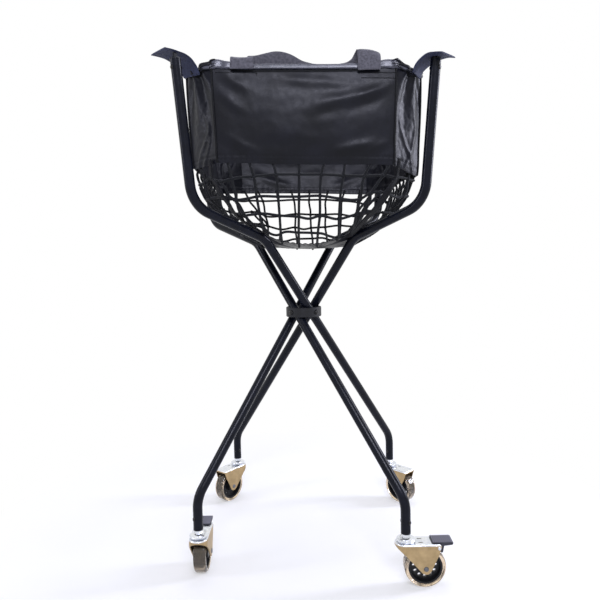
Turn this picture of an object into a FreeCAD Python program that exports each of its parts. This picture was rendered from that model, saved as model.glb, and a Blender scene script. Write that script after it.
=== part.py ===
# A folding ball cart: four alike bent tubes cross in a bolted ring, each foot rolls on a swivel
# caster, and a fabric and net bag hangs by corner straps from the four arm tops.
#
# Millimetres, +Z up, the floor at zero, the cart's centre line on Z. The user stands towards -Y.
# A leg is drawn once, in its own vertical plane: +X runs out along its pivot bolt, +Y towards its
# foot and -Y towards its arm top. A quarter turn about Z gives the next leg.
# A caster is drawn with its stem on Z and its wheel trailing towards +X.
import FreeCAD, Part
import math
import os
import re
import Sketcher
from FreeCAD import Placement, Rotation, Vector

SIZES = {
    # Gaps that every piece shares: a running or push fit, two pieces that only pass, and the
    # length by which a cut runs out of its piece.
    "fit_gap": 0.1,
    "free_gap": 0.3,
    "overrun": 5,
    # The four bent tubes. A reach is measured from the centre line in the tube's own plane.
    "tube_diameter": 18,
    "tube_wall": 1.5,
    "tube_offset": 21.3,
    "bend_radius": 55,
    "foot_reach": 269.5,
    "foot_height": 96.5,
    "lower_bend_height": 156,
    "pivot_height": 485,
    "inner_bend_height": 635.5,
    "outer_bend_reach": 287,
    "outer_bend_height": 690,
    "arm_top_reach": 311,
    "arm_top_height": 932.5,
    # The moulded ends of a tube and the rivets that hold them.
    "socket_flange": 1.5,
    "socket_length": 34,
    "plug_cap": 2.5,
    "plug_length": 26,
    "stud_diameter": 6,
    "stud_height": 8,
    "rivet_diameter": 4.8,
    "rivet_head_diameter": 8,
    "rivet_head_height": 1.6,
    "foot_rivet_rise": 21.5,
    "top_rivet_drop": 16,
    # The ring at the crossing, with a bolt, a spacer bush and a nut for each tube.
    "band_bore": 68.6,
    "band_wall": 3,
    "band_height": 20.5,
    "band_edge": 1.2,
    "bolt_diameter": 6,
    "bolt_head_diameter": 11,
    "bolt_head_height": 3.2,
    "bolt_end": 1,
    "spacer_diameter": 14,
    "pivot_nut_flats": 10,
    "pivot_nut_height": 4.5,
    # A caster's stem, its hexagon nut under the tube end and its bearing cup.
    "stem_diameter": 8,
    "stem_depth": 15,
    "stem_nut_flats": 13,
    "stem_nut_height": 5.5,
    "cup_diameter": 34,
    "cup_crown_diameter": 14,
    "cup_height": 5.5,
    "cup_wall": 1.4,
    "cup_round": 16,
    "kingpin_diameter": 10,
    "kingpin_head_diameter": 17,
    "kingpin_head_height": 2.4,
    # The pressed fork. Its side plates narrow to a round tip about the axle.
    "fork_width": 35,
    "fork_plate": 2,
    "fork_height": 82,
    "fork_edge": 2.4,
    "nose_reach": 20.5,
    "nose_lip": 5,
    "fork_waist_reach": 2.8,
    "fork_waist_height": 62.5,
    "tip_radius": 10,
    "tip_front_angle": 222,
    "tip_back_angle": -24.5,
    "heel_reach": 55.3,
    "heel_height": 60.8,
    "fork_back": 60.8,
    "back_corner": 4,
    "back_lip": 6,
    "braked_plate_end": 47,
    "slot_place": 25,
    "slot_spread": 7,
    "slot_length": 8,
    "slot_width": 2.4,
    "race_height": 3,
    "race_crown_diameter": 22,
    "race_foot_diameter": 29,
    # The wheel, its axle and the flanged bushes between its core and the fork.
    "trail": 33,
    "wheel_diameter": 75,
    "tread_width": 24,
    "tread_depth": 6.7,
    "tread_shoulder": 4.5,
    "rim_depth": 3.4,
    "web_thickness": 5,
    "web_draft": 1.2,
    "boss_diameter": 24,
    "web_hole_diameter": 6,
    "web_hole_circle": 40,
    "bush_diameter": 11,
    "bush_flange_diameter": 17,
    "bush_mid_gap": 1,
    "axle_diameter": 6,
    "axle_head_diameter": 9.2,
    "axle_head_height": 1.6,
    # The brake pedal on a front fork, seen from the side in the caster's own frame.
    "pedal_width": 27,
    "pedal_front": 45,
    "pedal_back": 82,
    "pedal_top_height": 84.3,
    "pedal_deck": 1.7,
    "pedal_back_edge": 4.5,
    "pedal_web_front": 51,
    "pedal_web_back": 66,
    "shoe_place": 60.7,
    "shoe_height": 66.2,
    "shoe_width": 3,
    "shoe_slant": 3,
    "rib_height": 1.2,
    "rib_width": 1.6,
    "rib_pitch": 3.5,
    "pedal_pin_place": 56.7,
    "pedal_pin_height": 75.1,
    "pedal_pin_diameter": 4,
    "pedal_pin_head_diameter": 6.4,
    "pedal_pin_head_height": 1.2,
    # The bag. A half width is from the centre line to a side; a face is half of a side's length,
    # and what is left between two sides is the corner panel. The bag hangs on the arm tops, so its
    # heights and the net's are measured from there, downwards, and the rim's half width and face
    # are measured from half the arm tops' reach.
    "fabric": 2.4,
    "rim_half_width": 54.5,
    "rim_face": 1.5,
    "rim_height": -15.5,
    "hem_half_width": 203,
    "hem_face": 152,
    "hem_height": -173.5,
    "binding_height": 13,
    "binding_thickness": 4.8,
    "bottom_height": -319.5,
    "bottom_half_width": 48,
    "bottom_face": 30,
    # The net under the hem, from level to level down to the bottom cloth.
    "net_thickness": 3.4,
    "rope_width": 5.4,
    "net_column_pitch": 40,
    "net_first_half_width": 200,
    "net_first_face": 147,
    "net_second_height": -190.5,
    "net_second_half_width": 198,
    "net_second_face": 147,
    "net_third_height": -229.5,
    "net_third_half_width": 184,
    "net_third_face": 138,
    "net_fourth_height": -260.5,
    "net_fourth_half_width": 152,
    "net_fourth_face": 100,
    "net_last_height": -287.5,
    "net_last_half_width": 97,
    "net_last_face": 72,
    "webbing_width": 25,
    "webbing_thickness": 1.8,
    # The straps from the bag's corners over the arm tops, which reach past the stud, and the two
    # hand loops, whose ends are measured in from the rim's corners.
    "strap_width": 46,
    "strap_thickness": 3,
    "strap_reach": 24,
    "strap_rise": 1.5,
    "strap_drop": 30,
    "strap_hole_diameter": 8,
    "handle_left": 63,
    "handle_right": 41,
    "handle_webbing": 40,
    "handle_thickness": 3,
    "handle_base": -17.5,
    "handle_bow": 34,
    "handle_bow_inset": 58,
}

# Each leg is named after its foot: the turn of its own frame about Z, the way its wheel trails,
# both in degrees, and whether its caster has a brake.
LEGS = [
    ("front_right", 225, 0, True),
    ("back_right", 315, -47, False),
    ("front_left", 135, 90, True),
    ("back_left", 45, 231.5, False),
]
LEG_COUNT = len(LEGS)
WEB_HOLES = 12
PEDAL_RIBS = 10

doc = FreeCAD.newDocument("ball_cart")
sheet = doc.addObject("Spreadsheet::Sheet", "sizes")
for row, (alias, value) in enumerate(SIZES.items(), start=1):
    sheet.set("A%d" % row, alias)
    sheet.set("B%d" % row, str(value))
    sheet.setAlias("B%d" % row, alias)
doc.recompute()

nodes = []


# Sizes in words

def value_of(words):
    """The number that an expression in words, such as tube_diameter / 2, has in the sheet."""
    return float(sheet.evalExpression(words))


def bound(words):
    """The same expression as another object of the document writes it."""
    return re.sub(r"[a-z][a-z_]+", lambda m: "sizes." + m[0] if m[0] in SIZES else m[0], words)


def place_at(piece, path, spot, turn=Rotation()):
    """Put a Placement property at a spot given in words, after a turn."""
    setattr(piece, path, Placement(Vector(*[value_of(words) for words in spot]), turn))
    for axis, words in zip("xyz", spot):
        piece.setExpression("%s.Base.%s" % (path, axis), bound(words))


# Sketches and features

def new_body(label, many=False):
    body = doc.addObject("PartDesign::Body", label)
    body.Label = label
    body.AllowCompound = many
    nodes.append(body)
    return body


def origin_feature(body, role):
    return [item for item in body.Origin.OriginFeatures if item.Role == role][0]


def new_sketch(body, plane, spot=None, turn=Rotation()):
    """A sketch on one of the body's own planes; a spot in words moves it within that plane's frame."""
    sketch = body.newObject("Sketcher::SketchObject", "sketch")
    sketch.AttachmentSupport = [(origin_feature(body, plane), "")]
    sketch.MapMode = "FlatFace"
    if spot:
        place_at(sketch, "AttachmentOffset", spot, turn)
    return sketch


def fix_point(sketch, element, end, spot):
    """Hold one point of a sketch at a spot given in words."""
    for kind, words in zip(("DistanceX", "DistanceY"), spot):
        index = sketch.addConstraint(Sketcher.Constraint(kind, -1, 1, element, end, value_of(words)))
        sketch.setExpression("Constraints[%d]" % index, bound(words))


def fix_radius(sketch, element, words):
    index = sketch.addConstraint(Sketcher.Constraint("Radius", element, value_of(words)))
    sketch.setExpression("Constraints[%d]" % index, bound(words))


def arc_between(first, last, radius, left):
    """The lesser arc from one point to another, bulging to the left or to the right of its way."""
    way = last - first
    rise = math.sqrt(max(radius ** 2 - (way.Length / 2) ** 2, 0))
    side = Vector(-way.y, way.x, 0).normalize()
    centre = (first + last) / 2 - side * rise if left else (first + last) / 2 + side * rise
    circle = Part.Circle(centre, Vector(0, 0, 1), radius)
    ends = (last, first) if left else (first, last)
    angles = [math.atan2(end.y - centre.y, end.x - centre.x) for end in ends]
    return Part.ArcOfCircle(circle, *angles)


def draw_outline(sketch, outline):
    """A closed outline. Each entry is a spot in words; a third entry is the radius of the arc to the
    next spot, and a fourth, left or right, says which way the arc bulges."""
    spots = [Vector(value_of(entry[0]), value_of(entry[1]), 0) for entry in outline]
    pieces = []
    for number, entry in enumerate(outline):
        first = spots[number]
        last = spots[(number + 1) % len(spots)]
        if len(entry) == 2:
            element = sketch.addGeometry(Part.LineSegment(first, last))
            pieces.append((element, 1, 2))
            continue
        left = entry[3] == "left"
        element = sketch.addGeometry(arc_between(first, last, value_of(entry[2]), left))
        pieces.append((element, 2, 1) if left else (element, 1, 2))
        fix_radius(sketch, element, entry[2])
    for number, (element, start, end) in enumerate(pieces):
        following, its_start, _ = pieces[(number + 1) % len(pieces)]
        sketch.addConstraint(Sketcher.Constraint("Coincident", element, end, following, its_start))
        fix_point(sketch, element, start, outline[number][:2])


def draw_circle(sketch, spot, radius):
    centre = Vector(value_of(spot[0]), value_of(spot[1]), 0)
    element = sketch.addGeometry(Part.Circle(centre, Vector(0, 0, 1), value_of(radius)))
    fix_point(sketch, element, 3, spot)
    fix_radius(sketch, element, radius)


def pad(body, sketch, length, middle=False):
    feature = body.newObject("PartDesign::Pad", "pad")
    feature.Profile = sketch
    feature.Midplane = middle
    feature.setExpression("Length", bound(length))
    return feature


def pocket(body, sketch, length=None, middle=False, reverse=False):
    """Cut a sketch into the body: to a length, or right through it both ways."""
    before = body.Shape.Volume
    feature = body.newObject("PartDesign::Pocket", "pocket")
    feature.Profile = sketch
    if length:
        feature.setExpression("Length", bound(length))
        feature.Midplane = middle
        feature.Reversed = reverse
    else:
        feature.Type = "ThroughAll"
        feature.Midplane = True
    doc.recompute()
    if body.Shape.Volume >= before:
        raise RuntimeError("a cut in %s takes nothing away" % body.Label)
    return feature


def revolve(body, sketch, axis="V_Axis"):
    feature = body.newObject("PartDesign::Revolution", "turned")
    feature.Profile = sketch
    feature.ReferenceAxis = (sketch, [axis])
    feature.Angle = 360
    return feature


def repeat_round(body, features, axis, count):
    """Copies of features, evenly round one of the body's own axes."""
    pattern = body.newObject("PartDesign::PolarPattern", "pattern")
    pattern.Originals = features
    pattern.Axis = (origin_feature(body, axis), [""])
    pattern.Angle = 360
    pattern.Occurrences = count
    body.Tip = pattern
    return pattern


def turned_piece(label, outline):
    """A piece turned about Z; its outline is given as radius and height."""
    body = new_body(label)
    sketch = new_sketch(body, "XZ_Plane")
    draw_outline(sketch, outline)
    revolve(body, sketch)
    return body


def leg_frame(piece, leg):
    """Turn a piece that is drawn in the leg's own frame to its leg."""
    piece.Placement = Placement(Vector(), Rotation(Vector(0, 0, 1), leg[1]))


def foot_frame(piece, leg, forward="0", up="0"):
    """Set a piece that is drawn in a caster's own frame under its leg's foot."""
    _, turn, trail_turn, _ = leg
    ahead = "(%s)" % forward
    across = "tube_offset * cos(%s deg) - foot_reach * sin(%s deg) + %s * cos(%s deg)"
    along = "tube_offset * sin(%s deg) + foot_reach * cos(%s deg) + %s * sin(%s deg)"
    spot = [across % (turn, turn, ahead, trail_turn), along % (turn, turn, ahead, trail_turn), up]
    place_at(piece, "Placement", spot, Rotation(Vector(0, 0, 1), trail_turn))


# The bent tubes

INNER_BEND_REACH = (
    "foot_reach * (inner_bend_height - pivot_height) / (pivot_height - lower_bend_height)"
)
TUBE_START = "foot_height + socket_flange"
ARM_RUN = "(arm_top_reach - outer_bend_reach)"
ARM_RISE = "(arm_top_height - outer_bend_height)"
ARM_LEAN = math.degrees(math.atan2(value_of(ARM_RUN), value_of(ARM_RISE)))
ARM_LENGTH = "sqrt(%s ^ 2 + %s ^ 2)" % (ARM_RUN, ARM_RISE)
LEAN_SINE = "(%s / %s)" % (ARM_RUN, ARM_LENGTH)
LEAN_COSINE = "(%s / %s)" % (ARM_RISE, ARM_LENGTH)


def draw_bent_path(sketch, corners, radius):
    """Straight runs that meet in tangent arcs, inside the corners that are given in words."""
    spots = [Vector(value_of(across), value_of(up), 0) for across, up in corners]
    ways = [(after - before).normalize() for before, after in zip(spots, spots[1:])]
    reach = value_of(radius)
    starts = [spots[0]]
    ends = []
    arcs = []
    for spot, way_in, way_out in zip(spots[1:], ways, ways[1:]):
        cut_back = reach * math.tan(way_in.getAngle(way_out) / 2)
        left = way_in.cross(way_out).z < 0
        ends.append(spot - way_in * cut_back)
        starts.append(spot + way_out * cut_back)
        arcs.append((arc_between(ends[-1], starts[-1], reach, left), left))
    ends.append(spots[-1])
    runs = [sketch.addGeometry(Part.LineSegment(*pair)) for pair in zip(starts, ends)]
    fix_point(sketch, runs[0], 1, corners[0])
    fix_point(sketch, runs[-1], 2, corners[-1])
    for number, (arc, left) in enumerate(arcs):
        element = sketch.addGeometry(arc)
        corner = sketch.addGeometry(Part.Point(spots[number + 1]), True)
        fix_point(sketch, corner, 1, corners[number + 1])
        start, end = (2, 1) if left else (1, 2)
        before, after = runs[number], runs[number + 1]
        sketch.addConstraint(Sketcher.Constraint("PointOnObject", corner, 1, before))
        sketch.addConstraint(Sketcher.Constraint("PointOnObject", corner, 1, after))
        sketch.addConstraint(Sketcher.Constraint("Tangent", before, 2, element, start))
        sketch.addConstraint(Sketcher.Constraint("Tangent", element, end, after, 1))
        fix_radius(sketch, element, radius)


def leg_tube(leg):
    """One tube from caster to arm top: a short upright foot, a long run through the pivot, a
    shallow run out under the bag and a long arm that leans out a little."""
    body = new_body("leg_tube_" + leg[0])
    path = new_sketch(body, "YZ_Plane", ["0", "0", "tube_offset"])
    draw_bent_path(path, [
        ("foot_reach", TUBE_START),
        ("foot_reach", "lower_bend_height"),
        ("-" + INNER_BEND_REACH, "inner_bend_height"),
        ("-outer_bend_reach", "outer_bend_height"),
        ("-arm_top_reach + plug_cap * " + LEAN_SINE, "arm_top_height - plug_cap * " + LEAN_COSINE),
    ], "bend_radius")
    ring = new_sketch(body, "XY_Plane", ["tube_offset", "foot_reach", TUBE_START])
    draw_circle(ring, ("0", "0"), "tube_diameter / 2")
    draw_circle(ring, ("0", "0"), "tube_diameter / 2 - tube_wall")
    pipe = body.newObject("PartDesign::AdditivePipe", "pipe")
    pipe.Profile = ring
    pipe.Spine = (path, [])
    doc.recompute()
    pivot = new_sketch(body, "YZ_Plane")
    draw_circle(pivot, ("0", "pivot_height"), "bolt_diameter / 2 + fit_gap")
    pocket(body, pivot)
    low = new_sketch(body, "XZ_Plane")
    draw_circle(low, ("tube_offset", "foot_height + foot_rivet_rise"), "rivet_diameter / 2 + fit_gap")
    pocket(body, low)
    lean = Rotation(Vector(1, 0, 0), ARM_LEAN)
    high = new_sketch(body, "XZ_Plane", ["tube_offset", "arm_top_height", "arm_top_reach"], lean)
    draw_circle(high, ("0", "-top_rivet_drop"), "rivet_diameter / 2 + fit_gap")
    pocket(body, high)
    leg_frame(body, leg)


def leg_rivets(leg):
    """The two round-headed cross rivets: one holds the caster socket, the other the arm's plug."""
    body = new_body("leg_rivets_" + leg[0], many=True)
    lean = Rotation(Vector(1, 0, 0), ARM_LEAN)
    low = ["tube_offset", "foot_reach", "foot_height + foot_rivet_rise"]
    high = [
        "tube_offset",
        "-arm_top_reach + top_rivet_drop * " + LEAN_SINE,
        "arm_top_height - top_rivet_drop * " + LEAN_COSINE,
    ]
    half = "(tube_diameter / 2)"
    top = "(tube_diameter / 2 + rivet_head_height)"
    for spot, turn in ((low, Rotation()), (high, lean)):
        sketch = new_sketch(body, "XY_Plane", spot, turn)
        draw_outline(sketch, [
            ("0", "-" + top),
            ("rivet_head_diameter / 4", "-" + top),
            ("rivet_head_diameter / 2", "-" + half),
            ("rivet_diameter / 2", "-" + half),
            ("rivet_diameter / 2", half),
            ("rivet_head_diameter / 2", half),
            ("rivet_head_diameter / 4", top),
            ("0", top),
        ])
        revolve(body, sketch)
    leg_frame(body, leg)


def top_plug(leg):
    """The moulded plug in the arm top: a cap as wide as the tube and a stud for the strap's hole."""
    inside = "tube_diameter / 2 - tube_wall - fit_gap / 2"
    body = turned_piece("top_plug_" + leg[0], [
        ("0", "-plug_length"),
        (inside + " - tube_wall", "-plug_length"),
        (inside, "-plug_length + tube_wall"),
        (inside, "-plug_cap"),
        ("tube_diameter / 2", "-plug_cap"),
        ("tube_diameter / 2", "-plug_cap / 2"),
        ("tube_diameter / 2 - plug_cap / 2", "0"),
        ("stud_diameter / 2", "0"),
        ("stud_diameter / 2", "stud_height - stud_diameter / 4"),
        ("stud_diameter / 4", "stud_height"),
        ("0", "stud_height"),
    ])
    hole = new_sketch(body, "XZ_Plane")
    draw_circle(hole, ("0", "-top_rivet_drop"), "rivet_diameter / 2 + fit_gap / 2")
    doc.recompute()
    pocket(body, hole)
    turn = leg[1]
    spot = [
        "tube_offset * cos(%s deg) + arm_top_reach * sin(%s deg)" % (turn, turn),
        "tube_offset * sin(%s deg) - arm_top_reach * cos(%s deg)" % (turn, turn),
        "arm_top_height",
    ]
    lean = Rotation(Vector(0, 0, 1), turn) * Rotation(Vector(1, 0, 0), ARM_LEAN)
    place_at(body, "Placement", spot, lean)


def foot_socket(leg):
    """The moulded insert in the foot, with a flange under the tube's end and a bore for the stem."""
    inside = "tube_diameter / 2 - tube_wall - fit_gap / 2"
    bore = "stem_diameter / 2 + fit_gap / 2"
    body = turned_piece("foot_socket_" + leg[0], [
        (bore, "foot_height"),
        ("tube_diameter / 2", "foot_height"),
        ("tube_diameter / 2", "foot_height + socket_flange"),
        (inside, "foot_height + socket_flange"),
        (inside, "foot_height + socket_length - tube_wall"),
        (inside + " - tube_wall", "foot_height + socket_length"),
        ("0", "foot_height + socket_length"),
        ("0", "foot_height + stem_depth + free_gap"),
        (bore, "foot_height + stem_depth + free_gap"),
    ])
    hole = new_sketch(body, "XZ_Plane")
    draw_circle(hole, ("0", "foot_height + foot_rivet_rise"), "rivet_diameter / 2 + fit_gap / 2")
    doc.recompute()
    pocket(body, hole)
    turn = leg[1]
    spot = [
        "tube_offset * cos(%s deg) - foot_reach * sin(%s deg)" % (turn, turn),
        "tube_offset * sin(%s deg) + foot_reach * cos(%s deg)" % (turn, turn),
        "0",
    ]
    place_at(body, "Placement", spot, Rotation(Vector(0, 0, 1), turn))


# The ring at the crossing

def hub_band():
    """The ring that the four tubes pass through, with rounded edges and a hole for each bolt."""
    inner = "band_bore / 2"
    outer = "band_bore / 2 + band_wall"
    top = "(pivot_height + band_height / 2)"
    base = "(pivot_height - band_height / 2)"
    body = turned_piece("hub_band", [
        (inner, base),
        (outer + " - band_edge", base),
        (outer, base + " + band_edge"),
        (outer, top + " - band_edge"),
        (outer + " - band_edge", top),
        (inner, top),
    ])
    hole = new_sketch(body, "YZ_Plane")
    draw_circle(hole, ("0", "pivot_height"), "bolt_diameter / 2 + fit_gap / 2")
    doc.recompute()
    cut = pocket(body, hole, "band_bore", reverse=True)
    repeat_round(body, [cut], "Z_Axis", LEG_COUNT)
    body.Placement = Placement(Vector(), Rotation(Vector(0, 0, 1), LEGS[-1][1]))


def pivot_bolts():
    """A domed bolt through the ring and each tube; its thread ends just past the nut."""
    body = new_body("pivot_bolts", many=True)
    sketch = new_sketch(body, "XY_Plane", ["0", "0", "pivot_height"])
    tip = "tube_offset - tube_diameter / 2 - free_gap - pivot_nut_height - bolt_end"
    seat = "(band_bore / 2 + band_wall)"
    draw_outline(sketch, [
        (tip, "0"),
        (tip, "bolt_diameter / 2 - bolt_end"),
        (tip + " + bolt_end", "bolt_diameter / 2"),
        (seat, "bolt_diameter / 2"),
        (seat, "bolt_head_diameter / 2"),
        (seat + " + bolt_head_height / 2", "bolt_head_diameter / 2 - bolt_end / 2"),
        (seat + " + bolt_head_height", "bolt_head_diameter / 4"),
        (seat + " + bolt_head_height", "0"),
    ])
    turned = revolve(body, sketch, "H_Axis")
    repeat_round(body, [turned], "Z_Axis", LEG_COUNT)
    body.Placement = Placement(Vector(), Rotation(Vector(0, 0, 1), LEGS[-1][1]))


def pivot_spacers():
    """A bush between each tube and the ring; its outer end is cut to the ring's bore."""
    body = new_body("pivot_spacers", many=True)
    sketch = new_sketch(body, "XY_Plane", ["0", "0", "pivot_height"])
    near = "tube_offset + tube_diameter / 2 + free_gap"
    draw_outline(sketch, [
        (near, "bolt_diameter / 2 + fit_gap / 2"),
        ("band_bore / 2 + overrun", "bolt_diameter / 2 + fit_gap / 2"),
        ("band_bore / 2 + overrun", "spacer_diameter / 2"),
        (near, "spacer_diameter / 2"),
    ])
    turned = revolve(body, sketch, "H_Axis")
    doc.recompute()
    beyond = new_sketch(body, "XY_Plane", ["0", "0", "pivot_height"])
    half = "(spacer_diameter / 2 + overrun)"
    chord = "sqrt((band_bore / 2) ^ 2 - %s ^ 2)" % half
    draw_outline(beyond, [
        (chord, "-" + half, "band_bore / 2", "right"),
        (chord, half),
        ("band_bore / 2 + 2 * overrun", half),
        ("band_bore / 2 + 2 * overrun", "-" + half),
    ])
    cut = pocket(body, beyond, "spacer_diameter + overrun", middle=True)
    repeat_round(body, [turned, cut], "Z_Axis", LEG_COUNT)
    body.Placement = Placement(Vector(), Rotation(Vector(0, 0, 1), LEGS[-1][1]))


def hexagon(flats):
    """The six corners of a nut that has two of its flats upright."""
    corner = "(%s / 2 / cos(30 deg))" % flats
    half = "(%s / 2)" % flats
    return [
        ("0", "-" + corner),
        (half, "-%s / 2" % corner),
        (half, "%s / 2" % corner),
        ("0", corner),
        ("-" + half, "%s / 2" % corner),
        ("-" + half, "-%s / 2" % corner),
    ]


def pivot_nuts():
    body = new_body("pivot_nuts", many=True)
    far = "tube_offset - tube_diameter / 2 - free_gap - pivot_nut_height"
    sketch = new_sketch(body, "YZ_Plane", ["0", "pivot_height", far])
    draw_outline(sketch, hexagon("pivot_nut_flats"))
    draw_circle(sketch, ("0", "0"), "bolt_diameter / 2 + fit_gap / 2")
    padded = pad(body, sketch, "pivot_nut_height")
    repeat_round(body, [padded], "Z_Axis", LEG_COUNT)
    body.Placement = Placement(Vector(), Rotation(Vector(0, 0, 1), LEGS[-1][1]))


# The casters

CUP_TOP = "(foot_height - stem_nut_height)"
CUP_RIM = "(foot_height - stem_nut_height - cup_height)"
RACE_TOP = "(fork_height + race_height)"
RACE_UNDER = "(fork_height + race_height - fork_plate)"


def caster_stem(leg):
    """The threaded stem with its domed bearing cup, and the kingpin that is riveted over below."""
    body = turned_piece("caster_stem_" + leg[0], [
        ("0", RACE_UNDER + " - free_gap - kingpin_head_height"),
        ("kingpin_head_diameter / 2 - cup_wall", RACE_UNDER + " - free_gap - kingpin_head_height"),
        ("kingpin_head_diameter / 2", RACE_UNDER + " - free_gap - kingpin_head_height / 2"),
        ("kingpin_head_diameter / 2", RACE_UNDER + " - free_gap"),
        ("kingpin_diameter / 2", RACE_UNDER + " - free_gap"),
        ("kingpin_diameter / 2", RACE_TOP + " + free_gap"),
        ("race_crown_diameter / 2", RACE_TOP + " + free_gap"),
        ("cup_diameter / 2 - cup_wall", CUP_RIM),
        ("cup_diameter / 2", CUP_RIM),
        ("cup_diameter / 2", CUP_RIM + " + cup_wall", "cup_round", "right"),
        ("cup_crown_diameter / 2", CUP_TOP),
        ("stem_diameter / 2", CUP_TOP),
        ("stem_diameter / 2", "foot_height + stem_depth"),
        ("0", "foot_height + stem_depth"),
    ])
    foot_frame(body, leg)


def stem_nut(leg):
    body = new_body("stem_nut_" + leg[0])
    sketch = new_sketch(body, "XY_Plane", ["0", "0", CUP_TOP])
    draw_outline(sketch, hexagon("stem_nut_flats"))
    draw_circle(sketch, ("0", "0"), "stem_diameter / 2 + fit_gap / 2")
    pad(body, sketch, "stem_nut_height")
    foot_frame(body, leg)


def caster_fork(leg):
    """The pressed fork: two side plates and a crown from one sheet, round in front, with a raised
    bearing race. The braked one ends short behind, where its pedal comes through."""
    braked = leg[3]
    body = new_body("caster_fork_" + leg[0])
    side = new_sketch(body, "XZ_Plane")
    draw_outline(side, [
        ("-nose_reach - overrun", "fork_height"),
        ("-nose_reach - overrun", "fork_height - nose_lip"),
        ("-nose_reach", "fork_height - nose_lip"),
        ("-fork_waist_reach", "fork_waist_height"),
        ("trail + tip_radius * cos(tip_front_angle * 1 deg)",
         "wheel_diameter / 2 + tip_radius * sin(tip_front_angle * 1 deg)", "tip_radius", "right"),
        ("trail + tip_radius * cos(tip_back_angle * 1 deg)",
         "wheel_diameter / 2 + tip_radius * sin(tip_back_angle * 1 deg)"),
        ("heel_reach", "heel_height"),
        ("fork_back", "fork_height - back_corner", "back_corner", "right"),
        ("fork_back - back_corner", "fork_height"),
    ])
    pad(body, side, "fork_width", middle=True)
    nose = "-nose_reach + fork_width / 2"
    ahead = "-nose_reach - 2 * overrun"
    half = "(fork_width / 2)"
    flat = "(fork_width / 2 - fork_edge)"
    beside = "(fork_width / 2 + overrun)"
    front = new_sketch(body, "XY_Plane")
    draw_outline(front, [
        (nose, "-" + half, half, "left"),
        ("-nose_reach", "0", half, "left"),
        (nose, half),
        (nose, beside),
        (ahead, beside),
        (ahead, "-" + beside),
        (nose, "-" + beside),
    ])
    doc.recompute()
    pocket(body, front)
    long_edges = new_sketch(body, "YZ_Plane")
    for sign, bulge in (("", "left"), ("-", "right")):
        draw_outline(long_edges, [
            (sign + flat, "fork_height", "fork_edge", bulge),
            (sign + half, "fork_height - fork_edge"),
            (sign + beside, "fork_height - fork_edge"),
            (sign + beside, "fork_height + overrun"),
            (sign + flat, "fork_height + overrun"),
        ])
    pocket(body, long_edges)
    nose_edge = new_sketch(body, "XZ_Plane", [nose, "0", "0"])
    draw_outline(nose_edge, [
        ("-" + flat, "fork_height", "fork_edge", "right"),
        ("-" + half, "fork_height - fork_edge"),
        ("-" + beside, "fork_height - fork_edge"),
        ("-" + beside, "fork_height + overrun"),
        ("-" + flat, "fork_height + overrun"),
    ])
    groove = body.newObject("PartDesign::Groove", "groove")
    groove.Profile = nose_edge
    groove.ReferenceAxis = (nose_edge, ["V_Axis"])
    groove.Angle = 180
    groove.Midplane = True
    doc.recompute()
    inner = "(fork_width / 2 - fork_plate)"
    channel_end = "fork_back + overrun" if braked else "fork_back - fork_plate"
    channel = new_sketch(body, "XY_Plane")
    draw_outline(channel, [
        (channel_end, "-" + inner),
        (channel_end, inner),
        (nose, inner, inner, "right"),
        ("-nose_reach + fork_plate", "0", inner, "right"),
        (nose, "-" + inner),
    ])
    pocket(body, channel, "fork_height - fork_plate", reverse=True)
    opening = new_sketch(body, "XY_Plane")
    opening_start = "braked_plate_end" if braked else "fork_back - fork_plate - free_gap"
    draw_outline(opening, [
        (opening_start, "-" + inner),
        ("fork_back + overrun", "-" + inner),
        ("fork_back + overrun", inner),
        (opening_start, inner),
    ])
    pocket(body, opening, "fork_height + overrun" if braked else "fork_height - back_lip", reverse=True)
    seat = new_sketch(body, "XY_Plane")
    draw_circle(seat, ("0", "0"), "race_foot_diameter / 2 - fork_plate")
    pocket(body, seat)
    race = new_sketch(body, "XZ_Plane")
    draw_outline(race, [
        ("kingpin_diameter / 2 + fit_gap", RACE_UNDER),
        ("race_crown_diameter / 2 - fork_plate / 2", RACE_UNDER),
        ("race_foot_diameter / 2 - fork_plate", "fork_height - fork_plate"),
        ("race_foot_diameter / 2", "fork_height - fork_plate"),
        ("race_foot_diameter / 2", "fork_height"),
        ("race_crown_diameter / 2", RACE_TOP),
        ("kingpin_diameter / 2 + fit_gap", RACE_TOP),
    ])
    revolve(body, race)
    axle = new_sketch(body, "XZ_Plane")
    draw_circle(axle, ("trail", "wheel_diameter / 2"), "axle_diameter / 2 + fit_gap / 2")
    if braked:
        draw_circle(axle, ("pedal_pin_place", "pedal_pin_height"), "pedal_pin_diameter / 2 + fit_gap / 2")
    doc.recompute()
    pocket(body, axle)
    slots = new_sketch(body, "XY_Plane")
    for side_sign in ("-", ""):
        middle = "(%sslot_spread)" % side_sign
        draw_outline(slots, [
            ("slot_place - slot_length / 2", middle + " - slot_width / 2"),
            ("slot_place + slot_length / 2", middle + " - slot_width / 2"),
            ("slot_place + slot_length / 2", middle + " + slot_width / 2"),
            ("slot_place - slot_length / 2", middle + " + slot_width / 2"),
        ])
    pocket(body, slots)
    foot_frame(body, leg)


def turned_on_axle(label, leg, outlines):
    """A piece turned about the axle; its outlines are given as radius and place along the axle."""
    body = new_body(label, many=len(outlines) > 1)
    for outline in outlines:
        sketch = new_sketch(body, "XY_Plane")
        draw_outline(sketch, outline)
        revolve(body, sketch)
    foot_frame(body, leg, "trail", "wheel_diameter / 2")
    return body


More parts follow.
